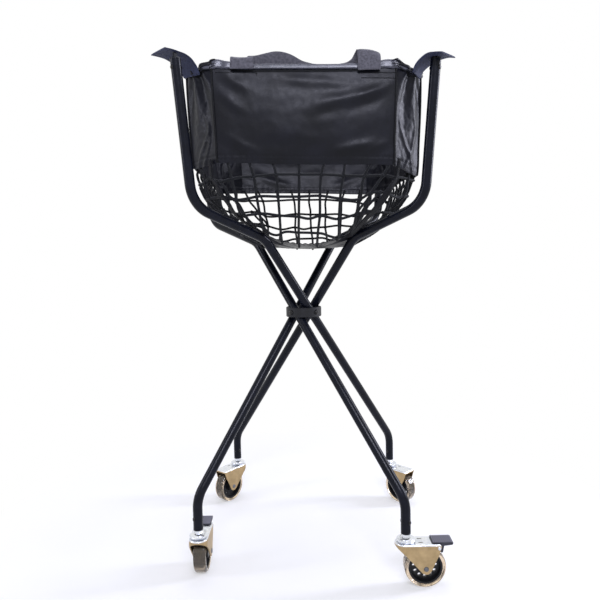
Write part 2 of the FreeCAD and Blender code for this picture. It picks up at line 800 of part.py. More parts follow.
def wheel_core(leg):
    """The moulded core: a boss, a thin drafted web with a ring of holes, and a rim."""
    rim = "(wheel_diameter / 2 - tread_depth)"
    inner_rim = "(wheel_diameter / 2 - tread_depth - rim_depth)"
    half = "(tread_width / 2)"
    web = "(web_thickness / 2)"
    bore = "(bush_diameter / 2 + fit_gap / 2)"
    near = [
        (bore, half),
        ("boss_diameter / 2", half),
        ("boss_diameter / 2 + web_draft", web),
        (inner_rim + " - web_draft", web),
        (inner_rim, half + " - web_draft"),
        (rim, half + " - web_draft"),
    ]
    far = [(radius, "-(%s)" % along) for radius, along in reversed(near)]
    body = turned_on_axle("wheel_core_" + leg[0], leg, [near + far])
    hole = new_sketch(body, "XZ_Plane")
    draw_circle(hole, ("web_hole_circle / 2", "0"), "web_hole_diameter / 2")
    doc.recompute()
    cut = pocket(body, hole)
    repeat_round(body, [cut], "Y_Axis", WEB_HOLES)


def wheel_tread(leg):
    """The poured tyre: as wide as the boss, with round shoulders."""
    rim = "(wheel_diameter / 2 - tread_depth)"
    outer = "(wheel_diameter / 2)"
    half = "(tread_width / 2)"
    turned_on_axle("wheel_tread_" + leg[0], leg, [[
        (rim, "-%s" % half),
        (outer + " - tread_shoulder", "-%s" % half, "tread_shoulder", "right"),
        (outer, "-%s + tread_shoulder" % half),
        (outer, "%s - tread_shoulder" % half, "tread_shoulder", "right"),
        (outer + " - tread_shoulder", half),
        (rim, half),
    ]])


def wheel_bushes(leg):
    """Two flanged bushes, pressed in from both sides; their flanges keep the wheel off the fork."""
    bore = "(axle_diameter / 2 + fit_gap)"
    near = [
        (bore, "bush_mid_gap / 2"),
        ("bush_diameter / 2", "bush_mid_gap / 2"),
        ("bush_diameter / 2", "tread_width / 2"),
        ("bush_flange_diameter / 2", "tread_width / 2"),
        ("bush_flange_diameter / 2", "fork_width / 2 - fork_plate - free_gap"),
        (bore, "fork_width / 2 - fork_plate - free_gap"),
    ]
    far = [(radius, "-(%s)" % along) for radius, along in reversed(near)]
    turned_on_axle("wheel_bushes_" + leg[0], leg, [near, far])


def headed_pin(label, leg, shank, head, head_height, forward, up):
    """A pin across the fork with a low head on both sides."""
    body = new_body(label)
    sketch = new_sketch(body, "XY_Plane")
    face = "(fork_width / 2)"
    top = "(fork_width / 2 + %s)" % head_height
    draw_outline(sketch, [
        ("0", "-" + top),
        ("%s / 2 - %s / 2" % (head, head_height), "-" + top),
        ("%s / 2" % head, "-" + face),
        ("%s / 2" % shank, "-" + face),
        ("%s / 2" % shank, face),
        ("%s / 2" % head, face),
        ("%s / 2 - %s / 2" % (head, head_height), top),
        ("0", top),
    ])
    revolve(body, sketch)
    foot_frame(body, leg, forward, up)


def brake_pedal(leg):
    """The moulded pedal: a ribbed deck on a web that carries the pin and ends in the shoe."""
    body = new_body("brake_pedal_" + leg[0])
    side = new_sketch(body, "XZ_Plane")
    deck = "(pedal_top_height - pedal_deck)"
    draw_outline(side, [
        ("pedal_front", "pedal_top_height"),
        ("pedal_front", deck),
        ("pedal_web_front", deck),
        ("pedal_web_front", "pedal_pin_height"),
        ("shoe_place - shoe_slant", "shoe_height + shoe_slant"),
        ("shoe_place", "shoe_height"),
        ("shoe_place + shoe_width", "shoe_height"),
        ("pedal_web_back", "pedal_pin_height + shoe_slant"),
        ("pedal_back - pedal_deck", "pedal_top_height - pedal_back_edge"),
        ("pedal_back", "pedal_top_height - pedal_back_edge + pedal_deck"),
        ("pedal_back", "pedal_top_height"),
    ])
    pad(body, side, "pedal_width", middle=True)
    rib = new_sketch(body, "XZ_Plane")
    start = "pedal_front + rib_pitch / 2"
    draw_outline(rib, [
        (start, deck),
        (start + " + rib_width", deck),
        (start + " + rib_width", "pedal_top_height + rib_height"),
        (start, "pedal_top_height + rib_height"),
    ])
    ridge = pad(body, rib, "pedal_width", middle=True)
    doc.recompute()
    pattern = body.newObject("PartDesign::LinearPattern", "ribs")
    pattern.Originals = [ridge]
    pattern.Direction = (origin_feature(body, "X_Axis"), [""])
    pattern.setExpression("Length", bound("rib_pitch * %d" % (PEDAL_RIBS - 1)))
    pattern.Occurrences = PEDAL_RIBS
    body.Tip = pattern
    bore = new_sketch(body, "XZ_Plane")
    draw_circle(bore, ("pedal_pin_place", "pedal_pin_height"), "pedal_pin_diameter / 2 + fit_gap")
    doc.recompute()
    pocket(body, bore)
    foot_frame(body, leg)


# The bag

RIM_WIDE = "(arm_top_reach / 2 + rim_half_width)"
RIM_FACE = "(arm_top_reach / 2 + rim_face)"
RIM = "(arm_top_height + rim_height)"
HEM = "(arm_top_height + hem_height)"
NET_END = "(arm_top_height + net_last_height)"
BOTTOM = "(arm_top_height + bottom_height)"


def octagon(half_width, face, inset="0"):
    """A square with cut corners, its walls set in by an inset."""
    side = "(%s - %s)" % (half_width, inset)
    end = "(%s - %s * (sqrt(2) - 1))" % (face, inset)
    return [
        (end, "-" + side), (side, "-" + end), (side, end), (end, side),
        ("-" + end, side), ("-" + side, end), ("-" + side, "-" + end), ("-" + end, "-" + side),
    ]


def octagon_sketch(body, height, half_width, face, inset=None, hole=None):
    sketch = new_sketch(body, "XY_Plane", ["0", "0", height])
    draw_outline(sketch, octagon(half_width, face, inset or "0"))
    if hole:
        draw_outline(sketch, octagon(half_width, face, hole))
    return sketch


def loft(body, sketches, kind="PartDesign::AdditiveLoft"):
    feature = body.newObject(kind, "loft")
    feature.Profile = sketches[0]
    feature.Sections = sketches[1:]
    feature.Ruled = True
    doc.recompute()
    return feature


def bag_body():
    """The cloth wall between the rim and the hem: four sides and four corner panels."""
    body = new_body("bag_body")
    loft(body, [
        octagon_sketch(body, HEM, "hem_half_width", "hem_face", hole="fabric"),
        octagon_sketch(body, RIM, RIM_WIDE, RIM_FACE, hole="fabric"),
    ])


def bag_rim():
    """The folded binding round the bag's mouth."""
    body = new_body("bag_rim")
    half_width = "(%s + binding_thickness / 2 - fabric / 2)" % RIM_WIDE
    ring = octagon_sketch(body, RIM, half_width, RIM_FACE, hole="binding_thickness")
    pad(body, ring, "binding_height")


NET_LEVELS = [
    (HEM, "net_first_half_width", "net_first_face"),
    ("arm_top_height + net_second_height", "net_second_half_width", "net_second_face"),
    ("arm_top_height + net_third_height", "net_third_half_width", "net_third_face"),
    ("arm_top_height + net_fourth_height", "net_fourth_half_width", "net_fourth_face"),
    (NET_END, "net_last_half_width", "net_last_face"),
]


def flat_face(spots):
    wire = Part.makePolygon([Vector(*spot) for spot in spots + spots[:1]])
    return Part.Face(wire)


def net_gaps(levels, edge, columns, reach):
    """The gaps of one side of the net as prisms along -Y: the side's window less its ropes. A level
    is a height, the side's distance and half of its length there."""
    rope = value_of("rope_width")
    left = [(-(half - edge), 0, height) for height, _, half in levels]
    right = [(half - edge, 0, height) for height, _, half in levels]
    window = flat_face(left + right[::-1])
    ropes = []
    for number, (height, away, half) in enumerate(levels):
        near = levels[max(number - 1, 0)]
        far = levels[min(number + 1, len(levels) - 1)]
        fall = near[0] - far[0]
        slope = fall / math.hypot(fall, near[1] - far[1])
        rise = rope / 2 * slope
        ropes.append(flat_face([
            (-half, 0, height - rise), (half, 0, height - rise),
            (half, 0, height + rise), (-half, 0, height + rise),
        ]))
    top, bottom = levels[0][0], levels[-1][0]
    for middle, width in columns:
        ropes.append(flat_face([
            (middle - width / 2, 0, bottom - rope), (middle + width / 2, 0, bottom - rope),
            (middle + width / 2, 0, top + rope), (middle - width / 2, 0, top + rope),
        ]))
    return window.cut(ropes).extrude(Vector(0, -reach, 0))


def bag_net():
    """The knotted net: one skin from the hem to the bottom cloth, with a gap for every mesh. The
    sides have upright ropes one pitch apart; a corner has only the band under its webbing."""
    levels = [tuple(value_of(words) for words in level) for level in NET_LEVELS]
    skins = []
    for inset in ("0", "net_thickness"):
        rings = []
        for height, half_width, face in NET_LEVELS:
            corners = octagon(half_width, face, inset)
            spots = [Vector(value_of(x), value_of(y), value_of(height)) for x, y in corners]
            rings.append(Part.makePolygon(spots + spots[:1]))
        skins.append(Part.makeLoft(rings, True, True))
    skin = skins[0].cut(skins[1])
    rope = value_of("rope_width")
    pitch = value_of("net_column_pitch")
    reach = value_of(RIM_WIDE) * 2
    count = int(value_of("net_second_face") / pitch)
    columns = [((number + 0.5) * pitch, rope) for number in range(-count - 1, count + 1)]
    corner = [
        (height, (half_width + face) / math.sqrt(2), (half_width - face) / math.sqrt(2))
        for height, half_width, face in levels
    ]
    gaps = net_gaps(levels, rope / 2, columns, reach)
    band = [(0, value_of("webbing_width") - rope)]
    corner_gaps = net_gaps(corner, rope / 2, band, reach)
    tools = []
    for leg in LEGS:
        turned_side = gaps.copy()
        turned_side.rotate(Vector(), Vector(0, 0, 1), leg[1] - LEGS[-1][1])
        turned_corner = corner_gaps.copy()
        turned_corner.rotate(Vector(), Vector(0, 0, 1), leg[1])
        tools += [turned_side, turned_corner]
    node = doc.addObject("Part::Feature", "bag_net")
    node.Label = "bag_net"
    node.Shape = skin.cut(tools)
    nodes.append(node)


def bag_bottom():
    """The cloth that the net ends in; it sags in the middle."""
    body = new_body("bag_bottom")
    loft(body, [
        octagon_sketch(body, NET_END, "net_last_half_width", "net_last_face"),
        octagon_sketch(body, BOTTOM, "bottom_half_width", "bottom_face"),
    ])
    loft(body, [
        octagon_sketch(body, NET_END + " + free_gap", "net_last_half_width", "net_last_face", "fabric"),
        octagon_sketch(body, BOTTOM + " + fabric", "bottom_half_width", "bottom_face", "fabric"),
    ], "PartDesign::SubtractiveLoft")


def corner_webbing():
    """A webbing band down each corner of the net, outside it."""
    body = new_body("corner_webbing", many=True)
    side = new_sketch(body, "XZ_Plane")
    inner = []
    outer = []
    for height, half_width, face in NET_LEVELS:
        away = "((%s + %s) / sqrt(2) + fit_gap)" % (half_width, face)
        inner.append((away, height))
        outer.append((away + " + webbing_thickness", height))
    draw_outline(side, inner + outer[::-1])
    band = pad(body, side, "webbing_width", middle=True)
    repeat_round(body, [band], "Z_Axis", LEG_COUNT)
    body.Placement = Placement(Vector(), Rotation(Vector(0, 0, 1), LEGS[-1][1]))


def corner_straps():
    """A strap from each corner of the rim out over an arm top. The plug's stud stands in its hole
    and a free tab runs on past the arm."""
    body = new_body("corner_straps", many=True)
    side = new_sketch(body, "YZ_Plane", ["0", "0", "tube_offset"])
    sewn = "((%s + %s) / sqrt(2) + binding_thickness)" % (RIM_WIDE, RIM_FACE)
    under = "(arm_top_height + strap_rise)"
    tab = "(arm_top_reach + strap_reach)"
    draw_outline(side, [
        ("-" + sewn, under + " - strap_drop"),
        ("-%s - strap_thickness" % sewn, under + " - strap_drop"),
        ("-%s - strap_thickness" % sewn, under),
        ("-" + tab, under),
        ("-" + tab, under + " + strap_thickness"),
        ("-" + sewn, under + " + strap_thickness"),
    ])
    strap = pad(body, side, "strap_width", middle=True)
    hole = new_sketch(body, "XY_Plane")
    draw_circle(hole, ("tube_offset", "-arm_top_reach"), "strap_hole_diameter / 2")
    doc.recompute()
    cut = pocket(body, hole)
    repeat_round(body, [strap, cut], "Z_Axis", LEG_COUNT)
    body.Placement = Placement(Vector(), Rotation(Vector(0, 0, 1), LEGS[-1][1]))


def handle(label, turn):
    """A hand loop of webbing on edge: both ends lie flat inside the wall and the middle bows in."""
    body = new_body(label)
    sketch = new_sketch(body, "XY_Plane", ["0", "0", "arm_top_height + handle_base"])
    wall = "(-%s + binding_thickness)" % RIM_WIDE
    bow = "(-%s + binding_thickness + handle_bow)" % RIM_WIDE
    half = "handle_webbing / 2"
    left = "(%s - handle_left)" % RIM_FACE
    right = "(%s - handle_right)" % RIM_FACE
    line = [
        ("-%s - %s" % (left, half), wall),
        ("-%s + %s" % (left, half), wall),
        ("-%s + handle_bow_inset" % left, bow),
        (right + " - handle_bow_inset", bow),
        ("%s - %s" % (right, half), wall),
        ("%s + %s" % (right, half), wall),
    ]
    behind = [(across, along + " + handle_thickness") for across, along in reversed(line)]
    draw_outline(sketch, line + behind)
    pad(body, sketch, "handle_webbing")
    body.Placement = Placement(Vector(), Rotation(Vector(0, 0, 1), turn))


for leg in LEGS:
    leg_tube(leg)
    leg_rivets(leg)
    top_plug(leg)
    foot_socket(leg)
    caster_stem(leg)
    stem_nut(leg)
    caster_fork(leg)
    headed_pin("axle_" + leg[0], leg, "axle_diameter", "axle_head_diameter", "axle_head_height",
               "trail", "wheel_diameter / 2")
    wheel_core(leg)
    wheel_tread(leg)
    wheel_bushes(leg)
    if leg[3]:
        brake_pedal(leg)
        headed_pin("pedal_pin_" + leg[0], leg, "pedal_pin_diameter", "pedal_pin_head_diameter",
                   "pedal_pin_head_height", "pedal_pin_place", "pedal_pin_height")
hub_band()
pivot_bolts()
pivot_spacers()
pivot_nuts()
bag_body()
bag_rim()
bag_net()
bag_bottom()
corner_webbing()
corner_straps()
handle("handle_front", 0)
handle("handle_back", 180)
doc.recompute()

for item in doc.Objects:
    if "Invalid" in item.State or "Error" in item.State:
        raise RuntimeError("%s of %s failed" % (item.Name, item.Label))
for node in nodes:
    if node.Shape.isNull() or not node.Shape.isValid():
        raise RuntimeError("the shape of %s is not valid" % node.Label)

os.makedirs("parts", exist_ok=True)
for node in nodes:
    node.Shape.exportStep("parts/%s.step" % node.Label)
print(len(nodes), "sub-parts")
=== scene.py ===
# The looks of a folding ball cart, dressed over its imported solids. Shapes are worked out in
# millimetres and go into their meshes in metres; +Z is up, the user stands towards -Y and the floor
# is at zero. The bag is made in four quarters, one round each corner.
import math

import bmesh
import bpy
import numpy as np
from mathutils import Matrix


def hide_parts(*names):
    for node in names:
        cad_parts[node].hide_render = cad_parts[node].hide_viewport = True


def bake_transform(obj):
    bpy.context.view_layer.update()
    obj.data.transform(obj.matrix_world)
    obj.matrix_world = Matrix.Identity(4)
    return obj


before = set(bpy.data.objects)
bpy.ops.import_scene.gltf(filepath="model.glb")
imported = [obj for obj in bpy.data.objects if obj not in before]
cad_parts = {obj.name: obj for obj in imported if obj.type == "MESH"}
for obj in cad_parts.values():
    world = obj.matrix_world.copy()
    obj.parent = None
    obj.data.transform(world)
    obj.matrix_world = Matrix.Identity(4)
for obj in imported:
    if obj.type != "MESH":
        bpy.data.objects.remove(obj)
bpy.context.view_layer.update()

MM = 0.001


# Numbers

def unit(vectors):
    """Vectors of length one, each divided by its own length."""
    return vectors / np.maximum(np.linalg.norm(vectors, axis=-1, keepdims=True), 1e-9)


def ease(share):
    """A smooth step: 3 s^2 - 2 s^3 between zero and one."""
    share = np.clip(share, 0, 1)
    return share * share * (3 - 2 * share)


def hump(place, middle, width):
    """A bell: e to the minus square of the distance from its middle, in widths."""
    return np.exp(-((place - middle) / width) ** 2)


def through(x, knots, values):
    """A smooth line through given values: cubics between the knots, whose slopes are those of the
    line through the neighbouring values."""
    knots = np.asarray(knots, float)
    values = np.asarray(values, float)
    slopes = np.gradient(values, knots, axis=0)
    x = np.clip(np.asarray(x, float), knots[0], knots[-1])
    k = np.clip(np.searchsorted(knots, x) - 1, 0, len(knots) - 2)
    step = knots[k + 1] - knots[k]
    s = (x - knots[k]) / step
    if values.ndim > 1:
        s, step = s[..., None], step[..., None]
    return (
        values[k] * (2 * s ** 3 - 3 * s ** 2 + 1) + slopes[k] * step * (s ** 3 - 2 * s ** 2 + s)
        + values[k + 1] * (3 * s ** 2 - 2 * s ** 3) + slopes[k + 1] * step * (s ** 3 - s ** 2)
    )


def crumple(x, z, seed, size):
    """Small irregular hollows: a sum of sine waves that run in seeded directions, each next one
    shorter and lower; between about -1 and 1."""
    random = np.random.default_rng(seed)
    total = np.zeros(np.broadcast(x, z).shape)
    for number in range(9):
        angle, phase = random.uniform(0, 2 * math.pi, 2)
        wave = size * (0.82 ** number)
        total = total + 0.82 ** number * np.sin(
            2 * math.pi * (x * math.cos(angle) + z * math.sin(angle)) / wave + phase
            + 1.3 * np.sin(2 * math.pi * (z * math.cos(angle) - x * math.sin(angle)) / (wave * 2.3))
        )
    return total / 3.2


# Parts of a mesh: points, quads and the distances in mm that a weave follows at each corner of a quad

def surface(points, across, along, wrap=False):
    """A grid of points, rows by columns, as quads. Wrap joins the last column to the first."""
    rows, columns = points.shape[:2]
    row = np.arange(rows - 1)[:, None] * columns
    column = np.arange(columns if wrap else columns - 1)[None, :]
    after = (column + 1) % columns
    quads = np.stack([row + column, row + after, row + columns + after, row + columns + column], -1)
    across = np.broadcast_to(across, (rows, columns + wrap))
    along = np.broadcast_to(along, (rows, columns + wrap))
    weave = np.stack([across, along], -1)
    corners = np.stack([weave[:-1, :-1], weave[:-1, 1:], weave[1:, 1:], weave[1:, :-1]], -2)
    return points.reshape(-1, 3), quads.reshape(-1, 4), corners.reshape(-1, 4, 2)


def together(parts):
    """Several parts as one."""
    points, quads, corners, start = [], [], [], 0
    for part in parts:
        points.append(part[0])
        quads.append(part[1] + start)
        corners.append(part[2])
        start += len(part[0])
    return np.concatenate(points), np.concatenate(quads), np.concatenate(corners)


def outward(part):
    """A closed part whose faces point out: its signed volume, the sum of a . (b x c) over its
    triangles, is made positive."""
    points, quads, corners = part
    a, b, c, d = (points[quads[:, number]] for number in range(4))
    volume = np.sum(a * np.cross(b, c)) + np.sum(a * np.cross(c, d))
    if volume < 0:
        return points, quads[:, ::-1], corners[:, ::-1]
    return part


def grid_normals(points):
    """Across a grid's columns crossed with along its rows, at unit length."""
    return unit(np.cross(np.gradient(points, axis=1), np.gradient(points, axis=0)))


def shell(points, outside, thickness, across, along):
    """Cloth with a thickness: a grid, its copy set back against the way outside, and four edges."""
    normals = grid_normals(points)
    facing = np.sign(np.sum(normals * outside, axis=-1, keepdims=True))
    inner = points - normals * np.where(facing == 0, 1, facing) * thickness
    rows, columns = points.shape[:2]
    across = np.broadcast_to(across, (rows, columns))
    along = np.broadcast_to(along, (rows, columns))
    parts = [surface(points, across, along), surface(inner[:, ::-1], across[:, ::-1], along[:, ::-1])]
    for pick in (np.s_[0], np.s_[-1], np.s_[:, 0], np.s_[:, -1]):
        strip = np.stack([inner[pick], points[pick]])
        if pick in (0, np.s_[:, -1]):
            strip = strip[::-1]
        parts.append(surface(strip, across[pick][None], along[pick][None]))
    return parts


def sweep(path, side, outline, width=None, cup=None):
    """An outline carried along a path and closed at both ends. Its first number goes along the given
    side, made square to the path, its second along path direction x side; width scales the first, and
    cup lowers the edges by that much, as the square of the distance from the middle."""
    ahead = unit(np.gradient(path, axis=0))
    side = unit(side - ahead * np.sum(side * ahead, axis=-1, keepdims=True))
    up = np.cross(ahead, side)
    wide = np.ones(len(path)) if width is None else width
    rings = (
        path[:, None] + outline[None, :, :1] * side[:, None] * wide[:, None, None]
        + outline[None, :, 1:] * up[:, None]
    )
    if cup is not None:
        bend = (outline[:, 0] / np.abs(outline[:, 0]).max()) ** 2
        rings = rings - cup[:, None, None] * bend[None, :, None] * up[:, None]
    ends = [np.broadcast_to(path[pick], (1,) + rings.shape[1:]) for pick in (0, -1)]
    rings = np.concatenate([ends[0], rings, ends[1]])
    gone = np.cumsum(np.r_[0, 0, np.linalg.norm(np.diff(path, axis=0), axis=1), 0])
    closed = np.vstack([outline, outline[:1]])
    round_it = np.cumsum(np.r_[0, np.linalg.norm(np.diff(closed, axis=0), axis=1)])
    return outward(surface(rings, round_it[None], gone[:, None], wrap=True))


def round_outline(radius, count):
    """A circle as that many points."""
    angle = np.arange(count) * 2 * math.pi / count
    return radius * np.stack([np.cos(angle), np.sin(angle)], -1)


def band_outline(width, thickness, count):
    """A flat band with round edges: its height goes as the square root of 1 - s^8 for a place s from
    -1 to 1 across it. Points along its top, then back along its bottom."""
    share = np.cos(np.linspace(math.pi, 0, count))
    high = thickness / 2 * np.sqrt(np.maximum(1 - np.abs(share) ** 8, 0))
    top = np.stack([share * width / 2, high], -1)
    bottom = np.stack([share[::-1] * width / 2, -high[::-1]], -1)
    return np.vstack([top, bottom[1:-1]])


def copies(part, origins, axes):
    """A small part at many origins; axes are its three directions at each, as rows."""
    points, quads, corners = part
    placed = origins[:, None] + np.einsum("pk,nkd->npd", points, axes)
    shift = np.arange(len(origins))[:, None, None] * len(points)
    return (
        placed.reshape(-1, 3), (quads[None] + shift).reshape(-1, 4), np.tile(corners, (len(origins), 1, 1))
    )


def lump(radii, rings, sides):
    """A small ball, longer or flatter along each axis."""
    lift = np.linspace(-math.pi / 2, math.pi / 2, rings)[:, None]
    turn = np.arange(sides)[None] * 2 * math.pi / sides
    grid = np.stack([
        radii[0] * np.cos(lift) * np.cos(turn), radii[1] * np.cos(lift) * np.sin(turn),
        radii[2] * np.sin(lift) * np.ones_like(turn),
    ], -1)
    return outward(surface(grid, np.arange(sides + 1)[None] * 1.0, lift * 3, wrap=True))


def stitches(line, outside, pitch=4.2, length=3.0, radius=0.42):
    """Thread stitches along a line: capsules one pitch apart, half sunk in what they lie on."""
    gone = np.cumsum(np.r_[0, np.linalg.norm(np.diff(line, axis=0), axis=1)])
    spots = np.arange(pitch / 2, gone[-1], pitch)
    origins = np.stack([np.interp(spots, gone, line[:, axis]) for axis in range(3)], -1)
    ways = unit(np.stack([
        np.interp(spots + 0.5, gone, line[:, axis]) - np.interp(spots - 0.5, gone, line[:, axis])
        for axis in range(3)
    ], -1))
    out = np.stack([np.interp(spots, gone, outside[:, axis]) for axis in range(3)], -1)
    out = unit(out - ways * np.sum(out * ways, axis=-1, keepdims=True))
    axes = np.stack([np.cross(ways, out), out, ways], 1)
    return copies(lump((radius, radius, length / 2), 4, 5), origins, axes)


def add_piece(name, part, material, crease=50):
    """A new object with a part as its mesh: in metres, smooth except at creases, with the weave's
    distances as its UV map."""
    points, quads, corners = part
    mesh = bpy.data.meshes.new(name)
    mesh.from_pydata((points * MM).tolist(), [], quads.tolist())
    mesh.uv_layers.new(name="weave").data.foreach_set("uv", (corners * MM).astype(np.float32).ravel())
    mesh.shade_smooth()
    work = bmesh.new()
    work.from_mesh(mesh)
    bmesh.ops.remove_doubles(work, verts=work.verts, dist=2e-6)
    work.to_mesh(mesh)
    work.free()
    mesh.set_sharp_from_angle(angle=math.radians(crease))
    mesh.materials.append(material)
    piece = bpy.data.objects.new(name, mesh)
    bpy.context.scene.collection.objects.link(piece)
    return piece


# Materials. The size of a pattern is given in millimetres.

WAVE = 2 * math.pi / 20


def linear(colour):
    """A hex colour as it is written on screen, turned to linear light."""
    shares = [int(colour[place:place + 2], 16) / 255 for place in (1, 3, 5)]
    return [c / 12.92 if c <= 0.04045 else ((c + 0.055) / 1.055) ** 2.4 for c in shares] + [1.0]


def per(size):
    """A texture's scale: how often a size in millimetres goes into a metre."""
    return 1 / (size * MM)


def add(tree, kind, links=None, stops=(), **settings):
    """One shader node: its settings by name, each input as a value, as an output or as a node whose
    first output is meant, and a ramp's stops as a place with a hex colour or a grey from 0 to 1."""
    node = tree.nodes.new(kind)
    for key, value in settings.items():
        setattr(node, key, value)
    for key, value in (links or {}).items():
        if isinstance(value, bpy.types.Node):
            value = value.outputs[0]
        if isinstance(value, bpy.types.NodeSocket):
            tree.links.new(value, node.inputs[key])
        else:
            node.inputs[key].default_value = value
    for number, (place, colour) in enumerate(stops):
        elements = node.color_ramp.elements
        if number == 0:
            elements.remove(elements[-1])
        element = elements[0] if number == 0 else elements.new(place)
        element.position = place
        element.color = linear(colour) if isinstance(colour, str) else (colour,) * 3 + (1.0,)
    return node


def finished(name, build, *values):
    """A material whose surface is the shader that a finish below builds, with its values."""
    material = bpy.data.materials.new(name)
    material.use_nodes = True
    tree = material.node_tree
    tree.nodes.clear()
    add(tree, "ShaderNodeOutputMaterial", {"Surface": build(tree, *values)})
    return material


def powder_coat(tree):
    """Black polyester powder, baked on steel: satin, with a faint orange peel about 1 mm across and
    places 18 mm across that are rubbed a little greyer and duller."""
    place = add(tree, "ShaderNodeTexCoord").outputs["Object"]
    peel = add(tree, "ShaderNodeTexNoise", {"Vector": place, "Scale": per(0.91), "Detail": 1.0})
    rub = add(tree, "ShaderNodeTexNoise", {
        "Vector": place, "Scale": per(18.2), "Detail": 5.0, "Roughness": 0.7,
    })
    paler_tone = add(tree, "ShaderNodeValToRGB", {"Fac": rub}, [(0.3, "#090b12"), (0.7, "#11141f")])
    dull = add(tree, "ShaderNodeValToRGB", {"Fac": rub}, [(0.35, 0.20), (0.75, 0.30)])
    bump = add(tree, "ShaderNodeBump", {"Height": peel, "Strength": 0.25, "Distance": 0.2 * MM})
    return add(tree, "ShaderNodeBsdfPrincipled", {
        "Base Color": paler_tone, "Roughness": dull, "Normal": bump, "Specular IOR Level": 0.14,
    })


def black_oxide(tree):
    """Steel blackened in a hot salt bath: thin, dark and slightly brown in patches of 3 mm, with metal
    at its gloss."""
    place = add(tree, "ShaderNodeTexCoord").outputs["Object"]
    patch = add(tree, "ShaderNodeTexNoise", {"Vector": place, "Scale": per(3.3), "Detail": 4.0})
    tint = add(tree, "ShaderNodeValToRGB", {"Fac": patch}, [(0.3, "#2a2b2e"), (0.7, "#3a3937")])
    dull = add(tree, "ShaderNodeValToRGB", {"Fac": patch}, [(0.3, 0.32), (0.7, 0.48)])
    return add(tree, "ShaderNodeBsdfPrincipled", {"Base Color": tint, "Metallic": 1.0, "Roughness": dull})


def moulded(tree, dark, light, low, high, crown=None):
    """Nylon from a spark-eroded mould: an even grain, really under 0.1 mm and drawn at 1.4 mm so that
    it shows, and a gloss that is cloudy over 11 mm. Dark and light are its colours, low and high its
    roughness. With a crown, ribs that end at 85.5 mm turn to that paler colour on top."""
    place = add(tree, "ShaderNodeTexCoord").outputs["Object"]
    fine = add(tree, "ShaderNodeTexNoise", {"Vector": place, "Scale": per(1.43), "Detail": 2.0})
    cloud = add(tree, "ShaderNodeTexNoise", {"Vector": place, "Scale": per(11.1), "Detail": 3.0})
    tint = add(tree, "ShaderNodeValToRGB", {"Fac": cloud}, [(0.3, dark), (0.7, light)])
    dull = add(tree, "ShaderNodeValToRGB", {"Fac": cloud}, [(0.3, low), (0.7, high)])
    bump = add(tree, "ShaderNodeBump", {"Height": fine, "Strength": 0.4, "Distance": 0.06 * MM})
    if crown:
        height = add(tree, "ShaderNodeSeparateXYZ", {"Vector": place}).outputs["Z"]
        paler_tone = add(tree, "ShaderNodeMapRange", {
            "Value": height, "From Min": 84.3 * MM, "From Max": 85.2 * MM,
        })
        tint = add(tree, "ShaderNodeMixRGB", {"Fac": paler_tone, "Color1": tint, "Color2": linear(crown)})
    return add(tree, "ShaderNodeBsdfPrincipled", {
        "Base Color": tint, "Roughness": dull, "Normal": bump, "Specular IOR Level": 0.3,
    })


def zinc_plate(tree, dark, light, low, high):
    """Pressed steel, zinc plated and passivated: bright and slightly blue, with patches of 14 mm and
    faint drawing lines from the press, 0.7 mm apart. Below 79 mm its colours are dark and light and its
    roughness low and high; there the colour is painted: on a fork's flanks a warm painted reflection of
    the floor, on the axle a painted shade."""
    place = add(tree, "ShaderNodeTexCoord").outputs["Object"]
    cloud = add(tree, "ShaderNodeTexNoise", {
        "Vector": place, "Scale": per(14.3), "Detail": 4.0, "Roughness": 0.6,
    })
    long = add(tree, "ShaderNodeMapping", {"Vector": place, "Scale": (per(16.7), per(16.7), per(0.67))})
    lines = add(tree, "ShaderNodeTexNoise", {"Vector": long, "Scale": 1.0, "Detail": 3.0})
    bright = add(tree, "ShaderNodeValToRGB", {"Fac": cloud}, [
        (0.3, "#d0d5de"), (0.55, "#e4e6ea"), (0.8, "#dcdbd6"),
    ])
    # Below 79 mm: painted colour, a warm painted reflection of the floor on a fork's flanks and a painted
    # shade on the axle
    thick = add(tree, "ShaderNodeValToRGB", {"Fac": cloud}, [(0.3, dark), (0.7, light)])
    smooth = add(tree, "ShaderNodeValToRGB", {"Fac": cloud}, [(0.3, 0.18), (0.75, 0.32)])
    satin = add(tree, "ShaderNodeValToRGB", {"Fac": cloud}, [(0.3, low), (0.7, high)])
    height = add(tree, "ShaderNodeSeparateXYZ", {"Vector": place}).outputs["Z"]
    upper = add(tree, "ShaderNodeMapRange", {"Value": height, "From Min": 78.5 * MM, "From Max": 80.3 * MM})
    tint = add(tree, "ShaderNodeMixRGB", {"Fac": upper, "Color1": thick, "Color2": bright})
    dull = add(tree, "ShaderNodeMixRGB", {"Fac": upper, "Color1": satin, "Color2": smooth})
    bump = add(tree, "ShaderNodeBump", {"Height": lines, "Strength": 0.15, "Distance": 0.1 * MM})
    return add(tree, "ShaderNodeBsdfPrincipled", {
        "Base Color": tint, "Metallic": 1.0, "Roughness": dull, "Normal": bump,
    })


def cast_polyurethane(tree):
    """Poured polyurethane, unpigmented: clear with a warm tint, so that it darkens over the black
    core, with clouds of dust and rolling marks, 8 mm across."""
    place = add(tree, "ShaderNodeTexCoord").outputs["Object"]
    dust = add(tree, "ShaderNodeTexNoise", {"Vector": place, "Scale": per(7.7), "Detail": 5.0})
    tint = add(tree, "ShaderNodeValToRGB", {"Fac": dust}, [(0.3, "#ecd2b0"), (0.75, "#f6e6cd")])
    dull = add(tree, "ShaderNodeValToRGB", {"Fac": dust}, [(0.3, 0.05), (0.75, 0.16)])
    return add(tree, "ShaderNodeBsdfPrincipled", {
        "Base Color": tint, "Roughness": dull, "Transmission Weight": 0.97, "IOR": 1.49,
        "Specular IOR Level": 0.35,
    })


